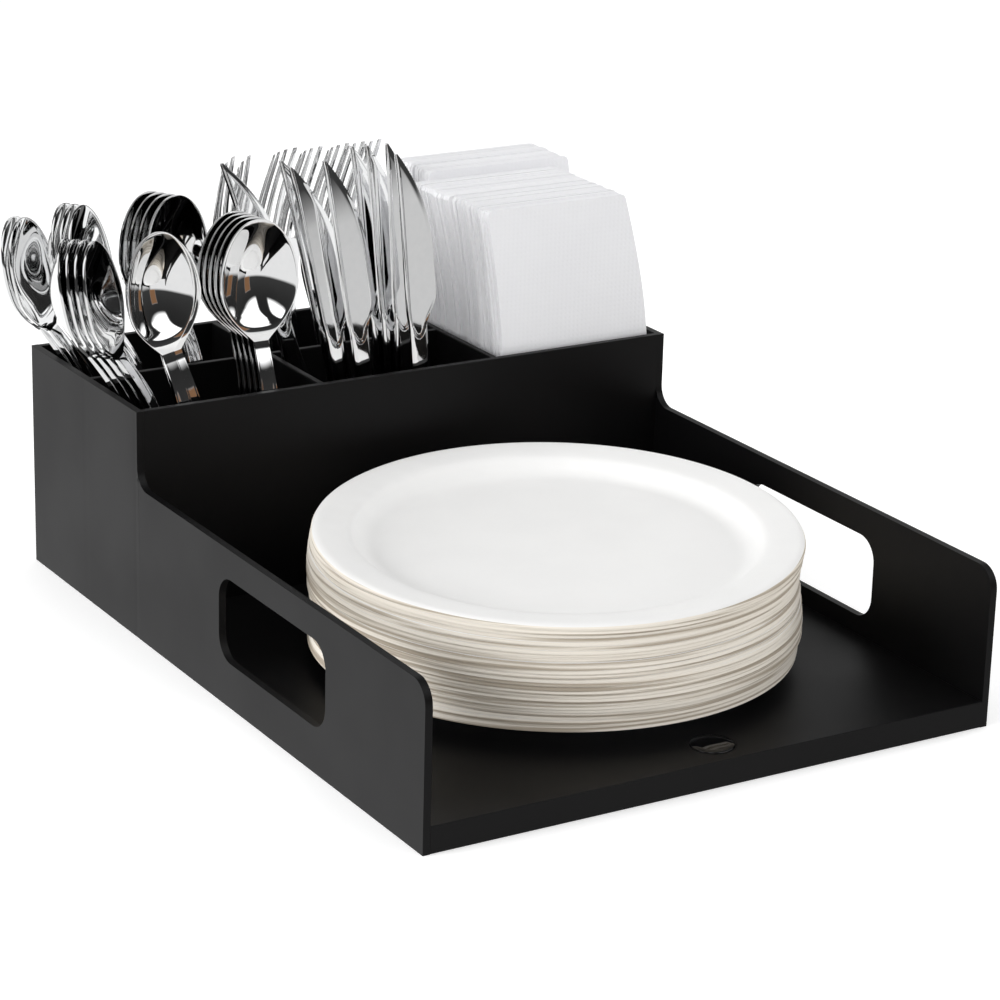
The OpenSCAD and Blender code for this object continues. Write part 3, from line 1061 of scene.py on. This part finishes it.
@dataclass
class BorderedHandle(Handle):
    """What spoons and forks share: a bowed, crowned handle with a raised border."""

    thickness: float = 2.2
    sheet: float = 1.2
    thinning: float = 30.0
    rise: float = 10.0
    bow_power: float = 1.6
    neck_width: float = 7.0
    crown_mm: float = 0.25
    border_mm: float = 0.3
    border_share: float = 0.22
    border_slope: float = 0.35

    def bow(self, z: float, neck_z: float) -> float:
        """Forward bow of the handle at a height."""
        return -self.rise * math.sin(math.pi * min(1.0, z / neck_z) ** self.bow_power)

    def thin(self, z: float, neck_z: float) -> float:
        """Thickness at a height, which falls to the sheet's round the neck."""
        past = ease((z - neck_z + self.thinning / 2) / self.thinning)
        return mix(self.thickness, self.sheet, past)

    def crown(self, u: float, z: float, neck_z: float, side: float) -> float:
        """Rise of the handle's surface by its crown and its raised border.

        Args:
            u: Place across, from -1 to 1.
            z: Height.
            neck_z: Height of the neck, at which it has faded.
            side: The front (-1) or the back (1) skin.

        Returns:
            The rise, which is backward where it is above 0.
        """
        inward = abs(u) - (1 - self.border_share)
        border = ease(inward / (self.border_share * self.border_slope))
        flat = 1 - ease((z - neck_z + self.thinning) / self.thinning)
        return side * flat * (self.crown_mm * (1 - u * u) - self.border_mm * (1 - border))


def skin_solid(
    rows: Sequence[float],
    columns: int,
    place: Callable[[float, int, float], Vector],
    is_open: Callable[[float, int], bool],
) -> bmesh.types.BMesh:
    """A closed thin solid from a grid that is bent to its front skin and extruded to its back.

    Args:
        rows: Heights of the grid's rows.
        columns: Number of columns across.
        place: Gives the point at a height and column, on the front (-1) or the back (1) skin.
        is_open: Says whether the strip right of a column is a gap above a height.

    Returns:
        The solid in millimetres.
    """
    bm = bmesh.new()
    bmesh.ops.create_grid(bm, x_segments=columns - 1, y_segments=len(rows) - 1, size=1.0)
    row_of = bm.verts.layers.int.new("row")
    column_of = bm.verts.layers.int.new("column")
    for vert in bm.verts:
        vert[row_of] = round((vert.co.y + 1) / 2 * (len(rows) - 1))
        vert[column_of] = round((vert.co.x + 1) / 2 * (columns - 1))
    gaps = [
        face
        for face in bm.faces
        if is_open(rows[min(v[row_of] for v in face.verts)], min(v[column_of] for v in face.verts))
    ]
    if gaps:
        bmesh.ops.delete(bm, geom=gaps, context="FACES")
    grown = bmesh.ops.extrude_face_region(bm, geom=bm.faces[:], use_keep_orig=True)["geom"]
    back = {g for g in grown if isinstance(g, bmesh.types.BMVert)}
    for vert in bm.verts:
        vert.co = place(rows[vert[row_of]], vert[column_of], 1.0 if vert in back else -1.0)
    bmesh.ops.recalc_face_normals(bm, faces=bm.faces[:])
    return bm


def round_rims(bm: bmesh.types.BMesh, offset: float, keep: Callable[[Vector], bool]) -> None:
    """Rounds the sharp edges of a thin solid.

    Args:
        bm: The solid.
        offset: Width of the rounding in millimetres.
        keep: Says whether an edge with this middle stays sharp.
    """
    sharp = [
        edge
        for edge in bm.edges
        if len(edge.link_faces) == 2
        and edge.calc_face_angle(0.0) > math.radians(RIM_DEGREES)
        and not keep((edge.verts[0].co + edge.verts[1].co) / 2)
    ]
    bmesh.ops.bevel(
        bm,
        geom=sharp,
        offset=offset,
        offset_type="OFFSET",
        affect="EDGES",
        segments=2,
        profile=0.5,
        material=-1,
        clamp_overlap=True,
    )


@dataclass
class Spoon(BorderedHandle):
    """A table spoon with a deep bowl that faces the front."""

    length: float = 172.0
    bowl_width: float = 38.0
    bowl_length: float = 57.0
    bowl_depth: float = 10.5
    widest: float = 0.47
    back_slope: float = -0.03
    shoulder: tuple[float, float] = (2.1, 1.15)
    heel: float = 0.07
    land: float = 0.94
    tip_land: float = 0.015
    heel_blend: float = 0.16
    blunt_tip: float = 0.002
    rim_round: float = 0.34
    columns: int = 25
    foot_steps: int = 6
    handle_steps: int = 26
    bowl_steps: int = 44

    def bowl_share(self, z: float) -> float:
        """Share of the way up the bowl."""
        return min(1.0, max(0.0, (z - self.length + self.bowl_length) / self.bowl_length))

    def edge_half(self, z: float) -> float:
        """Half width.

        Args:
            z: Height.

        Returns:
            The half width at the height.
        """
        neck_z = self.length - self.bowl_length
        if z < neck_z:
            return self.half(z, neck_z, self.neck_width)
        share = self.bowl_share(z)
        if share > self.widest:
            inside = 1 - ((share - self.widest) / (1 - self.widest)) ** 2
            return self.bowl_width / 2 * math.sqrt(max(self.blunt_tip, inside))
        taper, swell = self.shoulder
        grown = max(0.0, 1 - ((self.widest - share) / self.widest) ** taper) ** swell
        return mix(self.neck_width / 2, self.bowl_width / 2, grown)

    def place(self, z: float, column: int, side: float) -> Vector:
        """Point of the skin.

        Args:
            z: Height.
            column: Number of the column, from the left.
            side: The front (-1) or the back (1) skin.

        Returns:
            The point in the spoon's own frame.
        """
        neck_z = self.length - self.bowl_length
        middle = (self.columns - 1) / 2
        u = math.sin((column - middle) / middle * math.pi / 2)
        share = (self.bowl_share(z) - self.heel) / (1 - self.heel - self.tip_land)
        dish = self.bowl_depth * arch(share) * ease(share / self.heel_blend)
        dish *= max(0.0, 1 - (u / self.land) ** 2)
        line = self.bow(z, neck_z) + self.back_slope * max(0.0, z - neck_z)
        thin = self.thin(z, neck_z)
        crown = self.crown(u, z, neck_z, side)
        return Vector((u * self.edge_half(z), line + dish + side * thin / 2 + crown, z))

    def template(self) -> bmesh.types.BMesh:
        """Shapes the spoon, with rows closer together at the foot and at both ends of the bowl.

        Returns:
            The mesh in millimetres, in its own frame.
        """
        neck_z = self.length - self.bowl_length
        rows = self.foot_rows(self.foot_steps)
        for i in range(1, self.handle_steps + 1):
            rows.append(mix(self.foot_width / 2, neck_z, i / self.handle_steps))
        for i in range(1, self.bowl_steps + 1):
            share = 1 - math.cos(math.pi * i / self.bowl_steps)
            rows.append(neck_z + self.bowl_length * share / 2)
        bm = skin_solid(rows, self.columns, self.place, lambda z, column: False)
        round_rims(bm, self.rim_round, lambda middle: False)
        return bm


@dataclass
class Fork(BorderedHandle):
    """A four-tined fork."""

    length: float = 186.0
    head_width: float = 23.0
    head_length: float = 88.0
    tine_length: float = 46.0
    rise: float = 5.0
    tine_gap: float = 1.25
    taper: float = 0.3
    shoulder: float = 1.15
    tip_width_share: float = 0.9
    head_turn: float = 200.0
    head_fall: float = 1.4
    head_dish: float = 2.0
    tip_thin: float = 0.55
    tip_thin_length: float = 6.0
    corner_degrees: float = 60.0
    corner_round: float = 0.9
    rim_round: float = 0.28
    steps: int = 4
    strips: int = 7
    foot_steps: int = 6
    handle_steps: int = 20
    neck_steps: int = 14
    tine_steps: int = 16

    def column_share(self, column: int, z: float) -> float:
        """Place of a column across the head, where each tine and gap takes some columns.

        Args:
            column: Number of the column, from the left.
            z: Height.

        Returns:
            The place across, from -1 to 1.
        """
        strip, step = divmod(column, self.steps)
        if strip == self.strips:
            strip, step = self.strips - 1, self.steps
        thin = self.taper * ease((z - self.length + self.tine_length) / self.tine_length)
        pitch = 1 + self.tine_gap

        def edge(index: int) -> float:
            """Edge of a tine, by its number from the left."""
            side = -1 if index % 2 == 0 else 1
            return (index // 2) * pitch + 0.5 + side * (0.5 - thin / 2)

        across = mix(edge(strip), edge(strip + 1), step / self.steps)
        return 2 * across / (4 + 3 * self.tine_gap) - 1

    def place(self, z: float, column: int, side: float) -> Vector:
        """Point of the skin.

        Args:
            z: Height.
            column: Number of the column, from the left.
            side: The front (-1) or the back (1) skin.

        Returns:
            The point in the fork's own frame.
        """
        neck_z = self.length - self.head_length
        tine_z = self.length - self.tine_length
        head = min(1.0, max(0.0, (z - neck_z) / (tine_z - neck_z)))
        above = max(0.0, z - neck_z) / self.head_length
        tip_width = self.head_width * self.tip_width_share
        if z < neck_z:
            half = self.half(z, neck_z, self.neck_width)
        else:
            wide = mix(self.neck_width, self.head_width, ease(head * self.shoulder))
            half = mix(wide, tip_width, ease((z - tine_z) / self.tine_length)) / 2
        line = self.bow(z, neck_z) + self.rise * (
            math.sin(math.radians(self.head_turn * above)) - self.head_fall * above**2
        )
        thin = self.thin(z, neck_z)
        near_tip = ease((z - self.length + self.tip_thin_length) / self.tip_thin_length)
        thin *= mix(1.0, self.tip_thin, near_tip)
        u = self.column_share(column, z)
        dish = self.head_dish * head * (1 - u * u)
        crown = self.crown(u, z, neck_z, side)
        return Vector((u * half, line + dish + side * thin / 2 + crown, z))

    def template(self) -> bmesh.types.BMesh:
        """Shapes the fork, with round roots and tips.

        Returns:
            The mesh in millimetres, in its own frame.
        """
        neck_z = self.length - self.head_length
        tine_z = self.length - self.tine_length
        rows = self.foot_rows(self.foot_steps)
        for low, high, count in (
            (self.foot_width / 2, neck_z, self.handle_steps),
            (neck_z, tine_z, self.neck_steps),
            (tine_z, self.length, self.tine_steps),
        ):
            rows += [mix(low, high, i / count) for i in range(1, count + 1)]

        def is_open(z: float, column: int) -> bool:
            """Whether the strip right of this column is a gap above this height."""
            return z > tine_z - 0.01 and column // self.steps % 2 == 1

        bm = skin_solid(rows, self.strips * self.steps + 1, self.place, is_open)
        across_most, along_most, through_least = 0.6, 0.4, 0.5
        corners = [
            edge
            for edge in bm.edges
            if abs(edge.verts[0].co.x - edge.verts[1].co.x) < across_most
            and abs(edge.verts[0].co.z - edge.verts[1].co.z) < along_most
            and abs(edge.verts[0].co.y - edge.verts[1].co.y) > through_least
            and edge.calc_face_angle(0.0) > math.radians(self.corner_degrees)
        ]
        bmesh.ops.bevel(
            bm,
            geom=corners,
            offset=self.corner_round,
            offset_type="OFFSET",
            affect="EDGES",
            segments=3,
            profile=0.5,
            material=-1,
            clamp_overlap=True,
        )
        round_rims(bm, self.rim_round, lambda middle: False)
        return bm


@dataclass
class Knife(Handle):
    """A dinner knife: straight back at the left, fine teeth on the right edge."""

    length: float = 201.0
    blade_length: float = 87.0
    blade_width: float = 18.0
    bolster_width: float = 10.0
    back_share: float = 0.32
    tip_share: float = 0.26
    belly: float = 0.35
    tooth_mm: float = 0.32
    row_mm: float = 0.65
    back_speed: float = 7.0
    edge_speed: float = 6.0
    tip_power: float = 2.2
    teeth_from: float = 12.0
    teeth_blend: float = 6.0
    cup_drop: float = 4.0
    cup_rise: float = 9.0
    cup_blend: float = 1.1
    facets: tuple[float, float] = (0.82, 0.22)
    facet_fall: float = 45.0
    grips: tuple[float, float] = (1.32, 0.62)
    edge_halves: tuple[float, float] = (0.6, 0.28)
    edge_blend: float = 3.2
    spine_mm: float = 1.3
    spine_half: float = 0.45
    spine_blend: float = 0.5
    spine_most: float = 0.3
    spine_margin: float = 0.6
    spine_columns: int = 4
    tip_bow: float = 1.2
    tip_bow_length: float = 32.0
    rim_round: float = 0.22
    columns: int = 19
    foot_steps: int = 5
    handle_steps: int = 16
    fine_margin: float = 3.0

    def blade_share(self, z: float) -> float:
        """Share of the way up the blade."""
        return max(0.0, z - self.length + self.blade_length) / self.blade_length

    def left(self, z: float) -> float:
        """Left outline, along the straight back.

        Args:
            z: Height.

        Returns:
            The place across at the height.
        """
        bolster_z = self.length - self.blade_length
        if z < bolster_z:
            return -self.half(z, bolster_z, self.bolster_width)
        back = -self.blade_width * self.back_share
        return mix(-self.bolster_width / 2, back, ease(self.blade_share(z) * self.back_speed))

    def right(self, z: float) -> float:
        """Right outline, along the cutting edge.

        Args:
            z: Height.

        Returns:
            The place across at the height.
        """
        bolster_z = self.length - self.blade_length
        if z < bolster_z:
            return self.half(z, bolster_z, self.bolster_width)
        share = self.blade_share(z)
        edge = self.blade_width * (1 - self.back_share)
        wide = mix(self.bolster_width / 2, edge, ease(share * self.edge_speed))
        past = max(0.0, share - self.belly) / (1 - self.belly)
        return mix(wide, -self.blade_width * self.tip_share, past**self.tip_power)

    def half_thickness(self, z: float, x: float) -> float:
        """Half thickness of the handle or the blade.

        Args:
            z: Height.
            x: Place across.

        Returns:
            The half thickness there.
        """
        bolster_z = self.length - self.blade_length
        left, right = self.left(z), self.right(z)
        middle, half = (left + right) / 2, max(0.5, (right - left) / 2)
        u = min(1.0, abs(x - middle) / half)
        cup_z = bolster_z - self.cup_drop + self.cup_rise * u**2
        below = max(0.0, bolster_z - z)
        facet = mix(*self.facets, ease(below / self.facet_fall))
        grip = mix(*self.grips, max(0.0, u - facet) / (1 - facet))
        edge = mix(*self.edge_halves, ease((x - (right - self.edge_blend)) / self.edge_blend))
        spine = self.spine_half * ease((left + self.spine_mm - x) / self.spine_blend)
        return mix(grip, edge + spine, ease((z - cup_z) / self.cup_blend))

    def place(self, z: float, column: int, side: float) -> Vector:
        """Point of the skin.

        Args:
            z: Height.
            column: Number of the column, from the left.
            side: The front (-1) or the back (1) skin.

        Returns:
            The point in the knife's own frame.
        """
        left, right = self.left(z), self.right(z)
        share = column / (self.columns - 1)
        width = right - left
        spine_share = min(self.spine_most, (self.spine_mm + self.spine_margin) / max(width, 1.0))
        first = self.spine_columns / (self.columns - 1)
        if share < first:
            across = share / first * spine_share
        else:
            across = mix(spine_share, 1.0, (share - first) / (1 - first))
        x = left + width * across
        if column == self.columns - 1:
            above = z - self.length + self.blade_length
            teeth = ease((above - self.teeth_from) / self.teeth_blend)
            phase = round(z / self.row_mm) % 2
            x -= self.tooth_mm * phase * teeth
        bow = self.tip_bow * max(0.0, 1 - (self.length - z) / self.tip_bow_length) ** 2
        return Vector((x, bow + side * self.half_thickness(z, left + width * across), z))

    def template(self) -> bmesh.types.BMesh:
        """Shapes the knife, with fine rows from below the bolster to the tip.

        Returns:
            The mesh in millimetres, in its own frame.
        """
        bolster_z = self.length - self.blade_length
        rows = self.foot_rows(self.foot_steps)
        start = bolster_z - self.cup_drop - self.fine_margin
        for i in range(1, self.handle_steps + 1):
            rows.append(mix(self.foot_width / 2, start, i / self.handle_steps))
        count = int((self.length - start) / self.row_mm)
        rows += [start + (self.length - start) * i / count for i in range(1, count + 1)]
        bm = skin_solid(rows, self.columns, self.place, lambda z, column: False)

        def keep(middle: Vector) -> bool:
            """Leaves the toothed edge sharp."""
            centre = (self.left(middle.z) + self.right(middle.z)) / 2
            return middle.z > bolster_z and middle.x > centre

        round_rims(bm, self.rim_round, keep)
        return bm


@dataclass
class Cutlery:
    """Seats a polished copy of each kind on every cutlery node."""

    finishes: Finishes
    low_slice: float = 0.0005
    handle_from: float = 0.02
    neck_margin: float = 0.002
    sharp_degrees: float = 50.0

    def seat(self, node: str, kind: Kind, neck_z: float) -> Matrix:
        """Finds a piece's own frame in its node's points.

        Args:
            node: The CAD node.
            kind: Its kind.
            neck_z: Height of the neck, in metres, below which a handle bows forward.

        Returns:
            The matrix from the piece's frame to the row frame.
        """
        points = points_of(node)
        centre = points.mean(0)
        axis = np.linalg.svd(points - centre)[2][0]
        axis = axis * np.sign(axis[2])
        along = points @ axis
        foot = points[along < along.min() + self.low_slice]
        origin = foot.mean(0)
        wide, _, up = np.linalg.svd(foot - origin)[2]
        up = up * np.sign((centre - origin) @ up)
        rel = points - origin
        if kind is Kind.KNIFE:
            wide = wide * np.sign((rel[rel @ up > neck_z].mean(0)) @ wide)
            deep = np.cross(up, wide)
        else:
            deep = np.cross(up, wide)
            handle = rel[(rel @ up > self.handle_from) & (rel @ up < neck_z - self.neck_margin)]
            if (handle @ deep).mean() > 0:
                wide, deep = -wide, -deep
        matrix = Matrix.Identity(4)
        for column, vector in enumerate((wide, deep, up, origin)):
            for row in range(3):
                matrix[row][column] = vector[row]
        return matrix

    def build(self) -> None:
        """Makes every spoon, fork and knife."""
        spoon, fork, knife = Spoon(), Fork(), Knife()
        kinds = {
            Kind.SPOON: (spoon, spoon.length - spoon.bowl_length),
            Kind.FORK: (fork, fork.length - fork.head_length),
            Kind.KNIFE: (knife, knife.length - knife.blade_length),
        }
        for kind, (shape, neck) in kinds.items():
            bm = shape.template()
            bmesh.ops.scale(bm, vec=Vector((MM, MM, MM)), verts=bm.verts[:])
            template = bpy.data.meshes.new(f"{kind.value}_template")
            bm.to_mesh(template)
            bm.free()
            smooth(template, self.sharp_degrees)
            for node in sorted(n for n in frame["nodes"] if n.startswith(kind.value + "_")):
                mesh = template.copy()
                mesh.transform(self.seat(node, kind, neck * MM))
                name = f"polished_{node}"
                mesh.name = name
                hand_over_mesh(mesh, name, node, Slot.METAL, [self.finishes.metal])
            bpy.data.meshes.remove(template)


# Napkins


@dataclass
class Napkins:
    """Folded napkins of several leaves that stand in a row. Sizes are in millimetres."""

    finishes: Finishes
    leaves: int = 4
    leaf_share: float = 0.995
    puff: float = 0.11
    columns: int = 15
    rows: int = 20
    corner: float = 2.2
    row_power: float = 1.15
    skews: tuple[float, float] = (1.4, 1.2)
    fall: float = 0.7
    edge_play: float = 0.7
    top_play: float = 0.35
    wave_mm: float = 0.12
    wave_length: float = 34.0
    wave_stretch: float = 0.6
    wave_slice: float = 3.0
    wave_from: float = 60.0
    level_near: float = 0.06
    shading: float = 40.0

    def leaf(
        self,
        bm: bmesh.types.BMesh,
        outline: Callable[[float], tuple[float, float]],
        span: tuple[float, float],
        top: float,
        foot: float,
        shifts: tuple[float, float],
    ) -> None:
        """Adds one leaf to a mesh.

        Args:
            bm: Mesh to add to.
            outline: Gives the left and right edge at a height.
            span: Where the leaf starts and ends in depth.
            top: Height of its top edge.
            foot: Height of its foot.
            shifts: How far its left and right edges are pulled in.
        """
        rows, columns = self.rows, self.columns

        def place(height: float, column: int, side: float) -> Vector:
            """Point of the leaf.

            Args:
                height: Share of its height.
                column: Number of the column, from the left.
                side: The front (-1) or the back (1) skin.

            Returns:
                The point in millimetres.
            """
            u = 0.5 - 0.5 * math.cos(math.pi * column / (columns - 1))
            edge_left, edge_right = outline(foot + (top - foot) * height)
            left, right = edge_left + shifts[0], edge_right - shifts[1]
            x = mix(left, right, u)
            inset = max(0.0, self.corner - min(x - left, right - x)) / self.corner
            drop = self.corner * (1 - math.sqrt(max(0.0, 1 - inset**2)))
            z = foot + (top - drop - foot) * height
            spot = Vector((x, z * self.wave_stretch, self.wave_slice))
            sway = noise.noise(spot / self.wave_length) * self.wave_mm * 2
            y = span[0] if side < 0 else span[1]
            return Vector((x, y + sway * ease((z - foot) / self.wave_from), z))

        heights = [1 - (1 - i / (rows - 1)) ** self.row_power for i in range(rows)]
        part = skin_solid(heights, columns, place, lambda z, column: False)
        mesh = bpy.data.meshes.new("leaf")
        part.to_mesh(mesh)
        part.free()
        bm.from_mesh(mesh)
        bpy.data.meshes.remove(mesh)

    def napkin(self, bm: bmesh.types.BMesh, points: np.ndarray, chance: random.Random) -> None:
        """Adds a napkin of several leaves in the room of one CAD napkin.

        Args:
            bm: Mesh to add to.
            points: The CAD napkin's corner points.
            chance: Seeded source of the small differences between leaves.
        """
        low, high = points.min(0), points.max(0)
        levels = sorted({round(z, 1) for z in points[:, 2]})
        slices = [points[np.abs(points[:, 2] - z) < self.level_near][:, 0] for z in levels]
        lefts = [places.min() for places in slices]
        rights = [places.max() for places in slices]

        def outline(z: float) -> tuple[float, float]:
            """Left and right edge at a height."""
            return float(np.interp(z, levels, lefts)), float(np.interp(z, levels, rights))

        pitch = (high[1] - low[1] + 2 * self.puff) / self.leaves
        skew = (chance.uniform(0, self.skews[0]), chance.uniform(0, self.skews[1]))
        fall = chance.uniform(0, self.fall)
        for index in range(self.leaves):
            start = low[1] - self.puff + index * pitch
            self.leaf(
                bm,
                outline,
                (start, start + pitch * self.leaf_share),
                high[2] - fall - chance.uniform(0, self.top_play),
                low[2],
                (
                    skew[0] + chance.uniform(0, self.edge_play),
                    skew[1] + chance.uniform(0, self.edge_play),
                ),
            )

    def build(self) -> None:
        """Makes the first napkin and the packs."""
        for seed, node in enumerate(
            ("napkin_first", "napkin_pack_front", "napkin_pack_middle", "napkin_pack_back")
        ):
            chance = random.Random(seed)
            bm = bmesh.new()
            for points in islands_of(node):
                self.napkin(bm, points, chance)
            piece = hand_over(bm, f"folded_{node}", node, Slot.NAPKIN, [self.finishes.napkin])
            smooth(piece.data, self.shading)


# Plates


@dataclass
class Plates:
    """Pressed board plates with a rolled rim. Sizes are in millimetres."""

    finishes: Finishes
    radius: float = 108.0
    steps: int = 128
    top_steps: int = 288
    pleats: int = 48
    pleat_mm: float = 0.07
    board: float = 0.75
    top_line: tuple[tuple[float, float], ...] = (
        (0.0, 1.2), (60.0, 1.2), (78.0, 1.2), (81.0, 1.4), (84.0, 2.3), (87.0, 4.4), (89.5, 6.8),
        (91.0, 7.8), (93.0, 8.35), (97.0, 8.8), (101.0, 9.2), (103.6, 9.45), (105.2, 9.62),
        (106.6, 9.4), (107.5, 8.85), (108.0, 8.0), (108.0, 7.3),
    )
    edge_from: float = 107.3
    roll_z: float = 7.6
    roll_width: float = 1.2
    pleats_from: float = 80.0
    pleats_width: float = 24.0
    sideways_play: float = 0.35
    upright_play: float = 0.12
    most_turn: float = 6.0
    shading: float = 60.0

    def section(self) -> list[tuple[float, float]]:
        """Half of the plate's section, along its top out to the rim and back underneath.

        Returns:
            The radius and height of each point.
        """
        top = list(self.top_line)
        under = []
        for index in range(len(top) - 1, -1, -1):
            before = top[max(0, index - 1)]
            after = top[min(len(top) - 1, index + 1)]
            way = Vector((after[0] - before[0], after[1] - before[1])).normalized()
            r, z = top[index]
            under.append((max(0.0, r + way.y * self.board), z - way.x * self.board))
        under[-1] = (0.0, under[-1][1])
        under[0] = (self.radius - self.board, top[-1][1])
        return top + under

    def template(self, steps: int, pleat_mm: float) -> bmesh.types.BMesh:
        """A plate in its own frame, spun from its section.

        Args:
            steps: Number of steps round.
            pleat_mm: Depth of the pressed pleats on the rise.

        Returns:
            The mesh in millimetres.
        """
        bm = bmesh.new()
        section = self.section()
        verts = [bm.verts.new((r, 0.0, z)) for r, z in section]
        edges = [bm.edges.new(pair) for pair in zip(verts, verts[1:])]
        bmesh.ops.spin(
            bm,
            geom=verts + edges,
            cent=(0, 0, 0),
            axis=(0, 0, 1),
            angle=2 * math.pi,
            steps=steps,
            use_merge=True,
            use_duplicate=False,
        )
        bmesh.ops.remove_doubles(bm, verts=bm.verts[:], dist=0.001)
        bmesh.ops.recalc_face_normals(bm, faces=bm.faces[:])
        # Faces at the rim and the roll take the cut-edge material, whose colour is painted shade.
        for face in bm.faces:
            middle = face.calc_center_median()
            r = math.hypot(middle.x, middle.y)
            is_roll = middle.z < self.roll_z and r > self.radius - self.roll_width
            face.material_index = 1 if r > self.edge_from or is_roll else 0
        if pleat_mm:
            for vert in bm.verts:
                r = math.hypot(vert.co.x, vert.co.y)
                share = arch((r - self.pleats_from) / self.pleats_width)
                turn = math.atan2(vert.co.y, vert.co.x)
                vert.co.z += pleat_mm * share * math.cos(self.pleats * turn)
        return bm

    def seat(self, points: np.ndarray, turn: float) -> Matrix:
        """Finds a plate's own frame in its CAD solid's points.

        Args:
            points: The solid's points.
            turn: Extra turn about its axis, in radians.

        Returns:
            The matrix from the plate's frame to the row frame, in millimetres.
        """
        centre = points.mean(0)
        axis = np.linalg.svd(points - centre, full_matrices=False)[2][2]
        axis = axis * np.sign(axis[2])
        rel = (points - centre) @ axis
        origin = centre + axis * rel.min()
        up = Vector(axis)
        return (
            Matrix.Translation(Vector(origin))
            @ Vector((0, 0, 1)).rotation_difference(up).to_matrix().to_4x4()
            @ Matrix.Rotation(turn, 4, "Z")
        )

    def build(self) -> None:
        """Makes the three thirds of the stack and the top plate."""
        chance = random.Random(7)
        materials = [self.finishes.board, self.finishes.board_edge_painted_shade]
        plain = self.template(self.steps, 0.0)
        plain_mesh = bpy.data.meshes.new("plate_template")
        plain.to_mesh(plain_mesh)
        plain.free()
        for node in ("plates_lower", "plates_middle", "plates_upper"):
            bm = bmesh.new()
            for points in islands_of(node):
                mesh = plain_mesh.copy()
                plays = (self.sideways_play, self.sideways_play, self.upright_play)
                sway = Matrix.Translation([chance.uniform(-play, play) for play in plays])
                mesh.transform(sway @ self.seat(points, chance.uniform(0, self.most_turn)))
                bm.from_mesh(mesh)
                bpy.data.meshes.remove(mesh)
            piece = hand_over(bm, f"board_{node}", node, Slot.BOARD, materials)
            smooth(piece.data, self.shading)
        bpy.data.meshes.remove(plain_mesh)
        top = self.template(self.top_steps, self.pleat_mm)
        seat = self.seat(islands_of("plate_top")[0], 0.0)
        bmesh.ops.transform(top, matrix=seat, verts=top.verts[:])
        piece = hand_over(top, "board_plate_top", "plate_top", Slot.BOARD, materials)
        smooth(piece.data, self.shading)


def main() -> None:
    """Builds the studio, the caddy and its contents in order."""
    logging.basicConfig(level=logging.INFO, format="%(name)s: %(message)s")
    Studio().build()
    finishes = Finishes()
    CaddyWalls(finishes).build()
    Cutlery(finishes).build()
    Napkins(finishes).build()
    Plates(finishes).build()


if __name__ == "__main__":
    main()
